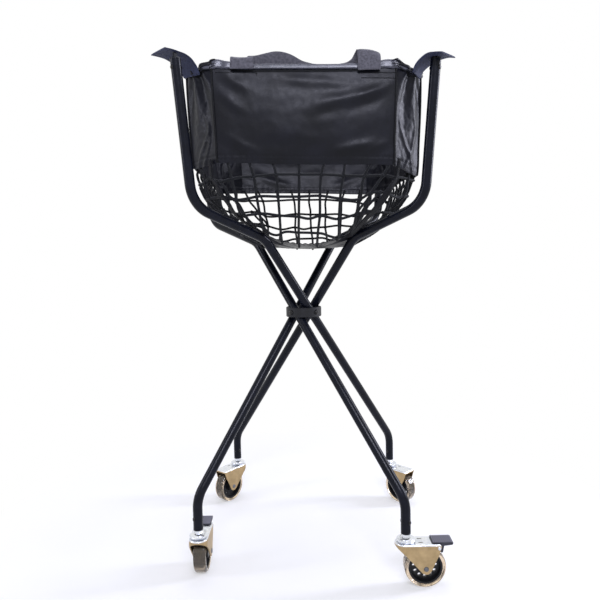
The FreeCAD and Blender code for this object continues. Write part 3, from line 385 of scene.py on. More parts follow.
def coated_cloth(tree, dark, light, gloss, smooth):
    """Polyester cloth with a poured coating: black, smooth and a little waxy, with a soft sheen, a
    thread grid of 0.5 mm drawn at 1.1 mm, and small creases about 6 mm across."""
    weave = add(tree, "ShaderNodeUVMap", uv_map="weave")
    place = add(tree, "ShaderNodeTexCoord").outputs["Object"]
    cells = add(tree, "ShaderNodeTexVoronoi", {
        "Vector": weave, "Scale": per(1.1), "Randomness": 0.25,
    }, distance="CHEBYCHEV")
    small = add(tree, "ShaderNodeTexNoise", {
        "Vector": place, "Scale": per(6.25), "Detail": 4.0, "Roughness": 0.55,
    })
    broad = add(tree, "ShaderNodeTexNoise", {"Vector": place, "Scale": per(45.5), "Detail": 3.0})
    tint = add(tree, "ShaderNodeValToRGB", {"Fac": broad}, [(0.3, dark), (0.7, light)])
    dull = add(tree, "ShaderNodeValToRGB", {"Fac": small}, [(0.3, smooth), (0.7, smooth + 0.09)])
    creases = add(tree, "ShaderNodeBump", {"Height": small, "Strength": 0.14, "Distance": 1.0 * MM})
    bump = add(tree, "ShaderNodeBump", {
        "Height": cells, "Strength": 0.2, "Distance": 0.2 * MM, "Normal": creases,
    })
    return add(tree, "ShaderNodeBsdfPrincipled", {
        "Base Color": tint, "Roughness": dull, "Normal": bump,
        "Specular IOR Level": gloss, "Sheen Weight": 0.03, "Sheen Roughness": 0.4,
    })


def twisted_cord(tree):
    """Twisted polyester cord: matt black, with strands that pass every 1.8 mm along it and lie at a
    slant, so that their crowns catch a little light. Its colour is painted lighter on the crowns and
    darker between the strands: a painted highlight and painted shade that follow the bump."""
    weave = add(tree, "ShaderNodeUVMap", uv_map="weave")
    slant = add(tree, "ShaderNodeMapping", {"Vector": weave, "Rotation": (0, 0, 0.6)})
    strands = add(tree, "ShaderNodeTexWave", {
        "Vector": slant, "Scale": WAVE * per(1.783), "Distortion": 0.4, "Detail": 2.0, "Detail Scale": 2.0,
    }, bands_direction="Y").outputs["Fac"]
    # Painted highlight and shade: lighter on the strands' crowns, darker in the grooves between them
    tint = add(tree, "ShaderNodeValToRGB", {"Fac": strands}, [(0.2, "#08090b"), (0.8, "#1b1d22")])
    bump = add(tree, "ShaderNodeBump", {"Height": strands, "Strength": 0.7, "Distance": 0.6 * MM})
    return add(tree, "ShaderNodeBsdfPrincipled", {
        "Base Color": tint, "Roughness": 0.66, "Normal": bump,
        "Specular IOR Level": 0.15, "Sheen Weight": 0.04, "Sheen Roughness": 0.5,
    })


def webbing(tree, dark, light, sheen):
    """Woven polyester webbing: ribs every 1.15 mm, broken into warp floats of 1.3 mm, whose crowns
    catch the light, and a colour that is fuzzy over 4 mm."""
    weave = add(tree, "ShaderNodeUVMap", uv_map="weave")
    ribs = add(tree, "ShaderNodeTexWave", {
        "Vector": weave, "Scale": WAVE * per(1.146), "Distortion": 0.3, "Detail": 1.0,
    }, bands_direction="X").outputs["Fac"]
    floats = add(tree, "ShaderNodeTexVoronoi", {"Vector": weave, "Scale": per(1.3), "Randomness": 0.35})
    fuzz = add(tree, "ShaderNodeTexNoise", {"Vector": weave, "Scale": per(4.17), "Detail": 4.0})
    both = add(tree, "ShaderNodeMath", {0: ribs, 1: floats}, operation="ADD")
    tint = add(tree, "ShaderNodeValToRGB", {"Fac": fuzz}, [(0.3, dark), (0.7, light)])
    bump = add(tree, "ShaderNodeBump", {"Height": both, "Strength": 0.6, "Distance": 0.4 * MM})
    return add(tree, "ShaderNodeBsdfPrincipled", {
        "Base Color": tint, "Roughness": 0.58, "Normal": bump,
        "Specular IOR Level": 0.16, "Sheen Weight": sheen, "Sheen Roughness": 0.45,
    })


def thread(tree):
    """Bonded polyester sewing thread: black, with a slight gloss and a twist of 0.7 mm."""
    place = add(tree, "ShaderNodeTexCoord").outputs["Object"]
    twist = add(tree, "ShaderNodeTexNoise", {"Vector": place, "Scale": per(0.67), "Detail": 1.0})
    tint = add(tree, "ShaderNodeValToRGB", {"Fac": twist}, [(0.3, "#090a0d"), (0.7, "#1a1b20")])
    return add(tree, "ShaderNodeBsdfPrincipled", {
        "Base Color": tint, "Roughness": 0.45, "Specular IOR Level": 0.15,
    })


POWDER = finished("powder_coat_black", powder_coat)
OXIDE = finished("black_oxide_steel", black_oxide)
PLASTIC = finished("moulded_nylon_black", moulded, "#0b0c10", "#13141a", 0.42, 0.55)
CORE = finished("moulded_wheel_core", moulded, "#0e0f11", "#17181b", 0.38, 0.5)
PEDAL = finished("moulded_pedal_grey", moulded, "#2c2c33", "#3a3a42", 0.45, 0.6, "#85848f")
ZINC = finished("zinc_plate_bright", zinc_plate, "#c8ccd4", "#dddfe2", 0.2, 0.34)
# The axle's dark grey is painted shade: the shadow round the axle head, put into the steel's colour
AXLE_PAINTED_SHADE_ZINC = finished("zinc_plate_dull_axle_painted_shade", zinc_plate, "#5c5e63", "#7e8085", 0.3, 0.45)
# The fork flanks' warm tan below 79 mm is a painted reflection of a warm floor, not the zinc's own colour
FLANK_PAINTED_REFLECTION_ZINC = finished("zinc_plate_warm_flanks_painted_reflection", zinc_plate, "#a08a66", "#bba37c", 0.36, 0.48)
TREAD = finished("cast_polyurethane_clear", cast_polyurethane)
CLOTH = finished("coated_polyester_black", coated_cloth, "#0c0d12", "#14151d", 0.16, 0.33)
# The binding is the wall's black cloth, made glossier; its lighter base colour is a painted sheen for the
# light its upturned face reflects
BINDING_PAINTED_SHEEN_CLOTH = finished("binding_tape_glossy_painted_sheen", coated_cloth, "#2c2d37", "#41424f", 0.5, 0.24)
CORD = finished("twisted_cord_black", twisted_cord)
BLACK_WEBBING = finished("polyester_webbing_navy_black", webbing, "#24283c", "#363b55", 0.03)
NET_WEBBING = finished("net_webbing_black", webbing, "#0a0b0f", "#13141a", 0.02)
GREY_WEBBING = finished("polyester_webbing_grey", webbing, "#444349", "#64636b", 0.06)
SEAM_TAPE = finished("seam_tape_black", webbing, "#07080b", "#0d0e13", 0.0)
THREAD = finished("sewing_thread_black", thread)

FINISHES = {
    "leg_tube": POWDER, "leg_rivets": OXIDE, "top_plug": PLASTIC, "foot_socket": PLASTIC,
    "caster_stem": ZINC, "stem_nut": ZINC, "caster_fork": FLANK_PAINTED_REFLECTION_ZINC, "axle": AXLE_PAINTED_SHADE_ZINC, "wheel_core": CORE,
    "wheel_tread": TREAD, "wheel_bushes": ZINC, "brake_pedal": PEDAL, "pedal_pin": ZINC,
    "hub_band": PLASTIC, "pivot_bolts": OXIDE, "pivot_spacers": PLASTIC, "pivot_nuts": OXIDE,
    "bag": CLOTH, "corner": BLACK_WEBBING, "handle": GREY_WEBBING,
}
for name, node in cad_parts.items():
    finish = next(value for start, value in FINISHES.items() if name.startswith(start))
    node.data.materials.clear()
    node.data.materials.append(finish)


# The bag. A side's own frame: x to the right seen from outside, and the side lies at -Y of it; a
# quarter turn about Z gives the next side. Quarter k runs from the middle of side k round the corner
# to the middle of side k + 1, and is named for its corner. The skin has, at each of HEIGHTS, a half
# width from the centre line to a side, and a half face along the side up to the corner panel.

BAG_RIGHT = 8.5
BAG_TILT = 0.02
RIM, HEM, LOWEST = 917.0, 759.0, 617.4
TOP_ROW, LOW_ROW = 771.0, 764.0
CLOTH_THICKNESS = 1.4
CORNER_HALF = 37.5
HEIGHTS = [613, 630, 645, 672, 703, 742, 759, 800, 917, 935]
HALF_WIDTHS = [40, 70, 97, 152, 184, 199, 203, 206, 210, 210]
FACES = [24, 48, 72, 100, 138, 148, 152, 153.5, 157, 157]
QUARTERS = [
    ("front_right", "leg_back_left"),
    ("back_right", "leg_front_left"),
    ("back_left", "leg_front_right"),
    ("front_left", "leg_back_right"),
]
RIGHT, FRONT, UP = np.array([1.0, 0, 0]), np.array([0, -1.0, 0]), np.array([0, 0, 1.0])
OUT = (RIGHT + FRONT) / math.sqrt(2)
ROUND = (RIGHT - FRONT) / math.sqrt(2)


def turned(points, quarter):
    """Points of a side's own frame on side or quarter number quarter, moved with the bag."""
    placed = turned_way(points, quarter) + [BAG_RIGHT, 0, 0]
    placed[..., 2] -= BAG_TILT * placed[..., 0]
    return placed


def turned_way(ways, quarter):
    """Directions of a side's own frame on side or quarter number quarter."""
    angle = quarter * math.pi / 2
    c, s = math.cos(angle), math.sin(angle)
    return ways @ np.array([[c, s, 0], [-s, c, 0], [0, 0, 1]])


def at_corner(away, along, height):
    """A spot of a quarter's own frame: away from the centre line, along the corner, height."""
    away, along, height = np.broadcast_arrays(away, along, height)
    spots = away[..., None] * OUT + along[..., None] * ROUND
    spots[..., 2] = height
    return spots


def on_side(x, height, out=0.0, half_width=None, face=None):
    """The point of the bag's skin at x in a side's own frame: on the side up to its face, and past
    that on the corner panel, which runs at 45 degrees. Out moves it away along the panel's normal."""
    if face is None:
        half_width, face = through(height, HEIGHTS, HALF_WIDTHS), through(height, HEIGHTS, FACES)
    x, height, out, w, f = np.broadcast_arrays(x, height, out, half_width, face)
    past = np.abs(x) > f
    y = -np.where(past, w + f - np.abs(x), w)
    tilt = np.where(past, math.sqrt(0.5), 0)
    return np.stack([
        x + out * tilt * np.sign(x), y - out * np.where(past, math.sqrt(0.5), 1), height
    ], -1)


# Each fold: where it starts, as x and height, where it ends, its width and its size
FOLDS = [
    (14, 857, 158, 886, 11, 2.8), (88, 867, 160, 899, 8, 2.0), (45, 778, 132, 797, 9, 2.3),
    (103, 777, 152, 800, 6, 1.5), (-152, 813, -83, 776, 9, 2.1), (-142, 911, -95, 883, 9, 1.9),
    (-150, 881, -108, 849, 8, 1.5), (-60, 905, 70, 893, 9, 1.2), (-70, 812, 20, 803, 14, 1.1),
]


def fold(x, height, line):
    """A soft ridge along a line that starts and ends at given places, with its width and its size: a
    bell across it, which fades towards its ends."""
    x0, h0, x1, h1, width, size = line
    length = math.hypot(x1 - x0, h1 - h0)
    along = ((x - x0) * (x1 - x0) + (height - h0) * (h1 - h0)) / length ** 2
    across = ((x - x0) * (h1 - h0) - (height - h0) * (x1 - x0)) / length
    ridge = hump(across, 0, width) - 0.4 * hump(across, 1.7 * width, width)
    return size * np.exp(-np.abs(2 * along - 1) ** 3) * ridge


def panel_out(side, x, height):
    """How far a side's cloth stands out: its belly over the load, soft folds from its corners, the hem
    and the stitched lines with their puckers, and small creases. Each side's folds differ a little,
    and all but the hem's fade towards the seams, which hold the cloth."""
    belly = 7.5
    share = x / through(height, HEIGHTS, FACES)
    rise = np.clip((height - HEM) / (RIM - HEM), 0, 1)
    held = 1 - np.abs(share) ** 6
    out = belly * np.maximum(1 - share ** 2, 0) ** 0.7 * np.sin(math.pi * rise ** 0.85)
    random = np.random.default_rng(40 + side)
    mirror = 1 if side % 2 == 0 else -1
    for line in FOLDS:
        shift = random.uniform(-9, 9, 4) * (side != 0)
        x0, h0, x1, h1 = np.array(line[:4]) * [mirror, 1, mirror, 1] + shift
        out = out + held * fold(x, height, (x0, h0, x1, h1) + line[4:])
    out = out + held * 0.55 * crumple(x, height, 7 + side, 72.0)
    between = 768.0
    pucker = np.sin(x * 0.55 + 1.5 * np.sin(x * 0.13 + side)) * hump(height, between, 9)
    out = out + held * pucker * (0.25 + 0.35 * share ** 2) + 0.15 * (1 - ease((height - between) / 5))
    out = out - 0.5 * hump(height, TOP_ROW, 1.5) - 0.45 * hump(height, LOW_ROW, 1.4)
    return out - 0.8 * hump(height, RIM - 1, 2.0)


def corner_out(quarter, along, height):
    """How far a corner panel stands out: pulled out under the strap, with folds that fan down from
    there and fade towards the hem, and slanting creases across them."""
    drop = np.maximum(930 - height, 0)
    pull = 12 * hump(along, 0, 20) * np.exp(-drop / 42)
    fan = np.sin(np.arctan2(along, drop + 16) * (9.5 + quarter % 2) + 0.7 * quarter)
    held = 1 - np.abs(along / CORNER_HALF) ** 4
    folds = held * 3.5 * np.exp(-(drop / 150) ** 2) * fan * ease(drop / 14)
    slant = hump(along, 22 * np.cos(drop / 29 + quarter), 5)
    slant = slant + hump(along, -20 * np.cos(drop / 34 + 2 * quarter), 4)
    slant = 1.5 * held * slant * ease((drop - 50) / 50)
    small = held * 0.6 * crumple(along, height, 90 + quarter, 30.0)
    return pull + folds + slant + small - 0.6 * hump(height, TOP_ROW, 1.5)


def near_rim(height):
    """Zero up to 900 mm, and one at the rim and above."""
    return ease((height - 900) / 20)


def rim_lift(share):
    """How far the rim's top rises near a corner, for a place from -1 to 1 along the corner panel and
    past it on the sides: highest at the two seams."""
    past = np.abs(share)
    return 9.0 * hump(past, 1.0, np.where(past > 1, 1.1, 0.5)) - 4 * hump(share, 0, 0.4)


HEM_DIP = [13.0, 3.0, 6.0, -3.5]


def hem_dip(quarter, share, height):
    """How far the hem hangs lower than a straight one, for a place as in rim_lift: most of all at the
    seam where the corner panel meets the next side."""
    spread = hump(share, 1.0, np.where(share > 1, 2.6, 1.3))
    return HEM_DIP[quarter] * spread * (1 - ease((height - HEM) / 60))


def quarter_skin(quarter, height):
    """The bag's outer skin over one quarter at given heights: columns from the middle of one side
    round the corner to the middle of the next, closer together near the seams. Returns points, the
    way outside and the distance across."""
    near = 1 - (1 - np.linspace(0, 1, 58)[None]) ** 1.25
    corner = np.linspace(-1, 1, 41)[None]
    height = np.atleast_1d(height)[:, None]
    w = through(height, HEIGHTS, HALF_WIDTHS)
    f = through(height, HEIGHTS, FACES)
    half = (w - f) / math.sqrt(2)

    def hung(points, share):
        """Points with the rim's rise and the hem's dip, for a place as in rim_lift."""
        points[..., 2] += near_rim(height) * rim_lift(share) - hem_dip(quarter, share, height)
        return points

    def side_cloth(side, x):
        """The cloth of a side at x, which ends at its middle or its seam."""
        points = on_side(x, height, 0, w, f)
        points[..., 1] -= panel_out(side % 4, x, height)
        return points

    past = 1 + (1 - near) * f / half
    back = -near[:, ::-1] * f
    away = (w + f) / math.sqrt(2) + corner_out(quarter, corner * half, height)
    first = turned(hung(side_cloth(quarter, near * f), -past), quarter)
    middle = turned(hung(at_corner(away, corner * half, height), corner), quarter)
    last = turned(hung(side_cloth(quarter + 1, back), past[:, ::-1]), quarter + 1)
    points = np.concatenate([first[:, :-1], middle[:, :-1], last], 1)
    outside = points - [BAG_RIGHT, 0, 0]
    outside[..., 2] = 0
    across = np.concatenate([
        (near * f)[:, :-1], (f + half + corner * half)[:, :-1], 2 * f + 2 * half + back
    ], 1)
    return points, unit(outside), across


def hang(piece, quarter, low=False):
    """Bakes a piece's placement into its mesh. A start and an end at the quarter's corner are worked
    out, the end lower and nearer when low, but nothing uses them."""
    start = turned(at_corner(150.0, 0.0, HEM), quarter)
    end = turned(at_corner(214.0, 0.0, HEM - 48) if low else at_corner(250.0, 0.0, HEM), quarter)
    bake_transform(piece)


def cloth_wall(quarter):
    """One quarter of the wall, from the hem to the rim."""
    heights = np.linspace(HEM - 1, RIM + 4.5, 92)
    points, outside, across = quarter_skin(quarter, heights)
    piece = add_piece(
        "bag_wall_" + QUARTERS[quarter][0],
        together(shell(points, outside, CLOTH_THICKNESS, across, heights[:, None])), CLOTH, crease=60,
    )
    hang(piece, quarter)
    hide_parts("bag_body")


def rim_binding(quarter):
    """The folded binding on the wall's top edge: narrow in the middle of a side, wide and pinched into
    creases towards the corner, its lower edge level. It leans in at its top by ten degrees. Outside it
    at the corner, three rolls of cloth that it gathers."""
    binding, reach, low = 8.6, 48, RIM - 2
    points, outside, across = quarter_skin(quarter, low)
    path, away, lead = points[0], outside[0], across[0]
    from_corner = lead - lead[-1] / 2
    lift = rim_lift(from_corner / CORNER_HALF)
    path[:, 2] = path[:, 2] - lift * near_rim(low) + 6.3 + 0.55 * lift
    pinch = hump(np.abs(from_corner), 38, 36)
    path = path + away * (0.7 * pinch * np.sin(lead * 0.31 + quarter) + 0.5)[:, None]
    path[:, 2] += 0.7 * pinch * np.sin(lead * 0.24 + 2 * quarter)
    lean = 0.985 * UP - 0.17 * away
    wide = (binding + 0.85 * np.maximum(lift, -3)) / binding
    piece = add_piece(
        "bag_rim_" + QUARTERS[quarter][0],
        sweep(path, lean, band_outline(binding, 5.4, 11), width=wide), BINDING_PAINTED_SHEEN_CLOTH,
    )
    hang(piece, quarter)
    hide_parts("bag_rim")
    near = np.abs(from_corner) < reach
    fade = np.maximum(1 - (from_corner / reach) ** 4, 0.05)[near]
    parts = []
    for level, out, thick in ((0.36, 2.7, 4.4), (0.02, 3.2, 3.6), (-0.32, 2.7, 4.0)):
        wave = 1.1 * np.sin(lead * 0.19 + 9 * level + quarter)
        roll = path + away * (out + 0.4 * wave)[:, None]
        roll[:, 2] += level * (binding + 0.85 * lift) + wave
        parts.append(sweep(roll[near], lean[near], band_outline(thick, 2.4, 7), width=fade))
    rolls = add_piece("bag_rim_rolls_" + QUARTERS[quarter][0], together(parts), CLOTH)
    hang(rolls, quarter)


def seam_welts(quarter):
    """The raised seams between a side and its corner panel, one each side of the corner, and the one
    under the binding."""
    heights = np.linspace(HEM, RIM + 4, 60)
    w = through(heights, HEIGHTS, HALF_WIDTHS)
    f = through(heights, HEIGHTS, FACES)
    lift = near_rim(heights) * rim_lift(1.0)
    parts = []
    for turn, sign in ((quarter, 1), (quarter + 1, -1)):
        dip = hem_dip(quarter, np.full_like(heights, -sign), heights)
        line = turned(np.stack([sign * (f + 0.4), -(w + 0.7), heights + lift - dip], -1), turn)
        side = turned_way(unit(sign * RIGHT - 0.42 * FRONT), turn)
        parts.append(sweep(line, side, band_outline(3.4, 2.6, 7)))
    points, outside, _ = quarter_skin(quarter, RIM - 2.5)
    parts.append(sweep(points[0] + 0.5 * outside[0], UP, band_outline(3.2, 1.8, 7)))
    piece = add_piece("bag_seams_" + QUARTERS[quarter][0], together(parts), SEAM_TAPE)
    hang(piece, quarter)


# Tack rows that hold the hand loops' ends, for each quarter: the side, and the row's turns as x and
# height there
TACKS = [
    [(0, [(97, 911.5), (156, 911)]), (0, [(97, 902.5), (156, 902)])],
    [(2, [(-151, 912), (-81, 911.5), (-81, 906)])],
    [(2, [(97, 911.5), (156, 911)]), (2, [(97, 902.5), (156, 902)])],
    [(4, [(-151, 912), (-81, 911.5), (-81, 906)])],
]


def wall_stitches(quarter):
    """Thread: two rows round the hem and, under each hand loop's ends, tack rows."""
    parts = []
    for height in (TOP_ROW, LOW_ROW):
        points, outside, _ = quarter_skin(quarter, height)
        parts.append(stitches(points[0] + outside[0] * 0.15, outside[0]))
    for turn, tack in TACKS[quarter]:
        x, height = np.array(tack, float).T
        share = np.linspace(0, len(tack) - 1, 60)
        x, height = np.interp(share, range(len(tack)), x), np.interp(share, range(len(tack)), height)
        line = on_side(x, height)
        line[:, 1] -= panel_out(turn % 4, x, height) + 0.3
        outside = turned_way(np.tile(FRONT, (len(line), 1)), turn)
        parts.append(stitches(turned(line, turn), outside, 3.0, 3.2, 0.9))
    piece = add_piece("bag_stitches_" + QUARTERS[quarter][0], together(parts), THREAD)
    hang(piece, quarter)


# The net. Each rope is the crossings that it goes through, as x and height on a side. Rows go right
# across; gathered ropes lie beside the corner bands.

NET_COLUMNS = [
    [(-136, 765), (-130, 735), (-125, 706), (-123, 689), (-119, 670)],
    [(-99, 765), (-91, 739), (-88, 707), (-85, 685), (-82, 661), (-80, 642)],
    [(-58, 765), (-52, 742), (-50, 706), (-49, 682), (-49, 658), (-48, 639)],
    [(-12, 765), (-12, 742), (-13, 706), (-14, 681), (-15, 662), (-15, 639)],
    [(33, 765), (27, 742), (24, 705), (24, 682), (21, 662), (20, 639)],
    [(69, 765), (65, 740), (60, 704), (59, 677), (61, 648), (60, 639)],
    [(116, 765), (102, 739), (96, 703), (90, 681), (88, 662), (85, 645)],
    [(148, 765), (136, 742), (116, 713), (109, 699), (98, 676)],
]
SIDE_COLUMNS = [
    [(sign * x, height) for x, height in ((164, 765), (162, 738), (152, 709), (138, 690))] for sign in (1, -1)
]
NET_ROWS = [
    [(-173, 740), (-166, 737), (-148, 731), (-130, 735), (-109, 738), (-91, 739), (-52, 742), (-12, 742),
     (27, 742), (65, 740), (102, 739), (136, 740), (153, 738), (173, 740)],
    [(-163, 706), (-147, 706), (-126, 701), (-105, 703), (-87, 706), (-50, 706), (-13, 706), (24, 707),
     (60, 703), (86, 701), (95, 702), (115, 711), (130, 712), (163, 706)],
    [(-137, 682), (-122, 677), (-101, 680), (-83, 683), (-50, 682), (-14, 681), (5, 679), (23, 682),
     (59, 677), (88, 681), (110, 684), (137, 682)],
    [(-108, 661), (-80, 661), (-69, 654), (-57, 654), (-45, 660), (-15, 662), (20, 661), (29, 660),
     (45, 654), (62, 647), (81, 645), (87, 651), (108, 661)],
]
GATHERS = [
    [(-150, 731), (-141, 717), (-133, 704), (-125, 700)],
    [(-128, 702), (-121, 690), (-113, 677), (-100, 664)],
    [(116, 712), (106, 698), (97, 690), (90, 680)],
    [(131, 712), (118, 699), (106, 688), (99, 676)],
    [(110, 684), (99, 678), (94, 668), (86, 655)],
]
CORD_RADIUS = 2.5


def corner_place(height):
    """The x of a corner's middle: halfway from the side's end to where the sides would meet."""
    return (through(height, HEIGHTS, HALF_WIDTHS) + through(height, HEIGHTS, FACES)) / 2


def net_sag(x, height):
    """How far the load pulls the middle of a side down, most of all near the bottom."""
    held = np.clip(1 - (x / corner_place(height)) ** 2, 0, 1)
    return 21 * held * ease((715 - height) / 70)


def net_sway(side, x, height):
    """Uneven pull of the load on the net: up to 2 mm up, down and out, less in front."""
    return (0.4 if side % 4 == 0 else 1.7) * crumple(x, height, 200 + side, 90.0)


def net_quarter(quarter):
    """The ropes of one quarter, laid through the crossings of a side, which odd sides have mirrored:
    columns from the hem down to the corner band or the bottom cloth, rows round the corner, a few
    that are gathered beside the band, and a knot where a column meets one of the upper rows."""
    parts, knots, knot_axes = [], [], []
    rope_outline = round_outline(CORD_RADIUS, 7)
    for turn, sign in ((quarter, 1), (quarter + 1, -1)):
        side = turn % 4
        mirror = [1 if side % 2 == 0 else -1, 1]
        columns = NET_COLUMNS + (SIDE_COLUMNS if side % 2 else []) + GATHERS
        columns = [np.array(line, float) * mirror for line in columns]
        rows = [np.array(line, float) * mirror for line in NET_ROWS]
        rows = [row[np.argsort(row[:, 0])] for row in rows]
        for line in [column for column in columns if column[0, 0] * sign > 0]:
            line = line[np.argsort(line[:, 1])]
            heights = np.linspace(line[-1, 1], line[0, 1], 90)
            x = through(heights, line[:, 1], line[:, 0])
            sway = net_sway(side, x, heights) * ease((HEM - heights) / 20)
            rope = on_side(x + 0.8 * sway, heights, sway - 3.2 * ease((heights - HEM + 8) / 8))
            rope[:, 2] -= net_sag(x, heights)
            parts.append(sweep(turned(rope, turn), turned_way(RIGHT, turn), rope_outline))
            for row in rows[:3]:
                miss = through(x, row[:, 0], row[:, 1]) - heights
                cross = np.argmin(np.abs(miss))
                if abs(miss[cross]) < 2:
                    knots.append(turned(rope[cross], turn))
                    knot_axes.append(turned_way(np.array([RIGHT, FRONT, UP]), turn))
        for row in rows:
            x = sign * np.linspace(0, 1, 90) * np.abs(row[-1, 0])
            height = through(x, row[:, 0], row[:, 1])
            sway = net_sway(side, x, height) * (1 - (np.abs(x) / np.abs(x).max()) ** 8)
            rope = on_side(x, height, sway)
            rope[:, 2] -= net_sag(x, height)
            parts.append(sweep(turned(rope[::sign], turn), UP, rope_outline))
    parts.append(copies(lump((4.0, 3.6, 4.0), 6, 8), np.array(knots), np.array(knot_axes)))
    piece = add_piece("net_" + QUARTERS[quarter][0], together(parts), CORD)
    hang(piece, quarter, low=True)
    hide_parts("bag_net")


def bottom_cloth(quarter):
    """A quarter of the bottom cloth: a shallow dish whose edge rises at the corner, gathered in small
    pleats where the net is sewn on."""
    half, corner = 94.0, 121.0
    share = np.linspace(0, 1, 60)[:, None] ** 0.8
    x = np.linspace(0, 1, 61)[None]
    angle = (np.concatenate([x[:, :-1] / 2, 0.5 + x / 2], 1) - 0.5) * math.pi / 2
    from_side = math.pi / 4 - np.abs(angle)
    plain_edge = np.minimum(half / np.cos(from_side), corner)
    gone = share * (plain_edge + 24 * np.exp(-(angle / 0.17) ** 4))
    pleat = np.sin(angle * 52) * ease((share - 0.5) / 0.45)
    radius = gone + 0.9 * pleat
    away, along = radius * np.cos(angle), radius * np.sin(angle)
    dish = (6.6 + 24 * np.tan(from_side) ** 2) * np.minimum(gone / plain_edge, 1) ** 2.1
    small = 3.6 * crumple(away, along, 300 + quarter, 60.0) * (1 - share) * share
    height = LOWEST + dish + 0.46 * np.maximum(gone - corner, 0) + 0.8 * pleat + small
    points = turned(at_corner(away, along, height), quarter)
    piece = add_piece(
        "bag_bottom_" + QUARTERS[quarter][0],
        together(shell(points, -UP, CLOTH_THICKNESS, along, away)), CLOTH, crease=60,
    )
    hang(piece, quarter, low=True)
    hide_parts("bag_bottom")


# The webbing bands: spots as x, height and the share of its width that the folded band shows there;
# then the side, the direction and the spots for each quarter
WIDE_BAND = [
    (160, 769, 0.3), (159, 758, 0.3), (156, 738, 0.34), (147, 722, 0.45), (138, 708, 0.58), (124, 689, 0.62),
    (107, 671, 0.6), (91, 652, 0.55), (84, 643, 0.5),
]
NARROW_BAND = [
    (165, 769, 0.32), (164, 759, 0.32), (163, 739, 0.32), (156, 728, 0.34), (147, 710, 0.36),
    (138, 697, 0.38), (132, 684, 0.38), (120, 672, 0.38), (108, 663, 0.38), (92, 652, 0.42), (81, 643, 0.45),
]
BANDS = [(0, 1, WIDE_BAND), (2, -1, WIDE_BAND), (2, 1, NARROW_BAND), (4, -1, NARROW_BAND)]


def corner_band(quarter):
    """The webbing band down the net's corner, outside the ropes, from the seam of the front or back.
    It is folded lengthwise to a part of its 24 mm, as each spot's last number says."""
    turn, sign, spots = BANDS[quarter]
    share = np.linspace(0, len(spots) - 1, 100)
    x, height, width = through(share, np.arange(len(spots)), np.array(spots)).T
    x = sign * x
    outside = unit(np.cross(
        on_side(x + 9, height) - on_side(x - 9, height), on_side(x, height + 4) - on_side(x, height - 4)
    ))
    path = turned(on_side(x, height) + 4.2 * outside, turn)
    side = np.cross(turned_way(outside, turn), np.gradient(path, axis=0))
    piece = add_piece(
        "corner_band_" + QUARTERS[quarter][0],
        sweep(path, side, band_outline(24, 3.4, 9), width=width), NET_WEBBING,
    )
    hang(piece, quarter, low=True)
    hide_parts("corner_webbing")


# Straps and hand loops. Each of a strap's spots is its distance away and along, its height, how far
# the edge that lies further round is lifted, and by how many degrees it turns flat.

STRAP_WIDTH = 46
STRAPS = {
    "front_left": [
        (333, 5.4, 941.5, 0, 0), (319, 5.4, 942, 0, 0), (306, 5.2, 941.5, 0, 0), (295, 4.5, 940, 1, 0),
        (284, 3.5, 936.5, 1, 0), (275, 2, 930.5, 1, 0), (269, 0.5, 924.5, 1, 0), (264, -0.5, 917, 0, 0),
    ],
    "front_right": [
        (336, 19, 930.5, 1, 5), (325, 19, 933.5, 1, 4), (313, 19, 935, 0, 2), (303, 18, 934, 0, 8),
        (295, 15, 929.5, 0, 12), (288, 11, 923, 0, 15), (283, 9, 916, 0, 17), (280, 8, 908, 0, 18),
    ],
    "back_right": [
        (338, 20, 938, 1, 0), (326, 20, 939, 1, 0), (312, 20, 939, 0, 0), (300, 17, 935, -1, 4),
        (290, 11, 928, -2, 5), (282, 4, 921, -2, 6), (278, -2, 915, -1, 6), (276, -5, 907, 0, 5),
    ],
    "back_left": [
        (337, 22, 940, -1, 0), (325, 22, 941, 0, 0), (311, 21, 940, 1, 0), (298, 18, 937, 1, -4),
        (284, 12, 930, 2, -6), (273, 5, 924, 2, -6), (267, -2, 917, 1, -5), (265, -6, 908, 0, -4),
    ],
}


def corner_strap(quarter):
    """The wide strap from the bag's corner up and out over the arm top, with its free tab."""
    name = QUARTERS[quarter][0]
    spots = np.array(STRAPS[name], float)
    share = np.linspace(0, len(spots) - 1, 90)
    away, along, height, roll, turn = through(share, np.arange(len(spots)), spots).T
    path = turned_way(at_corner(away, along, height), quarter)
    flat = np.radians(turn)[:, None]
    side = ROUND * np.cos(flat) - OUT * np.sin(flat) + np.outer(roll / (STRAP_WIDTH / 2), UP)
    strap = sweep(path, turned_way(side, quarter), band_outline(STRAP_WIDTH, 2.6, 11))
    piece = add_piece("corner_strap_" + name, strap, BLACK_WEBBING)
    hang(piece, quarter)
    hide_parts("corner_straps")


# Each of a hand loop's spots is a point of a side's own frame, then the direction across the webbing
LOOP_TOP = 947
LOOP_LEFT = [
    (-105, -216.8, 916.5, 1, 0, 0), (-105, -217.4, 926, 1, 0, 0), (-105, -216.5, 932, 1, 0, 0),
    (-105, -212, 935.5, 1, 0, -0.02), (-105.5, -206, 935.5, 1, 0, -0.08), (-106, -200, 932, 0.93, 0, -0.36),
    (-104, -196, 929, 0.6, 0, -0.8), (-96, -193, 927, 0.3, 0, -0.95), (-80, -190, 928, 0, 0, -1),
    (-62, -188, 932.5, -0.1, 0, -1), (-46, -187, 935.5, 0, 0, -1), (-30, -187, 932, 0.05, 0, -1),
    (-10, -188, 921, 0.05, 0, -1), (12, -189, 914.5, 0, 0, -1),
]
LOOP_RIGHT = [
    (12, -189, 914.5, 0, 0, -1), (38, -190, 912.5, 0, 0, -1), (64, -191, 913.5, 0, 0, -1),
    (82, -193, 917, 0.1, 0, -1), (96, -196, 925, 0.45, 0.05, -0.88), (104, -200, 936, 0.8, 0, -0.6),
    (109, -204.5, 945, 0.97, 0, -0.25), (110.5, -209, 948.5, 0.99, 0, -0.16),
    (111, -213.5, 946.5, 1, 0, -0.14), (111, -217, 939, 1, 0, -0.07), (111, -218.2, 927, 1, 0, 0),
    (111, -217, 914, 1, 0, 0),
]


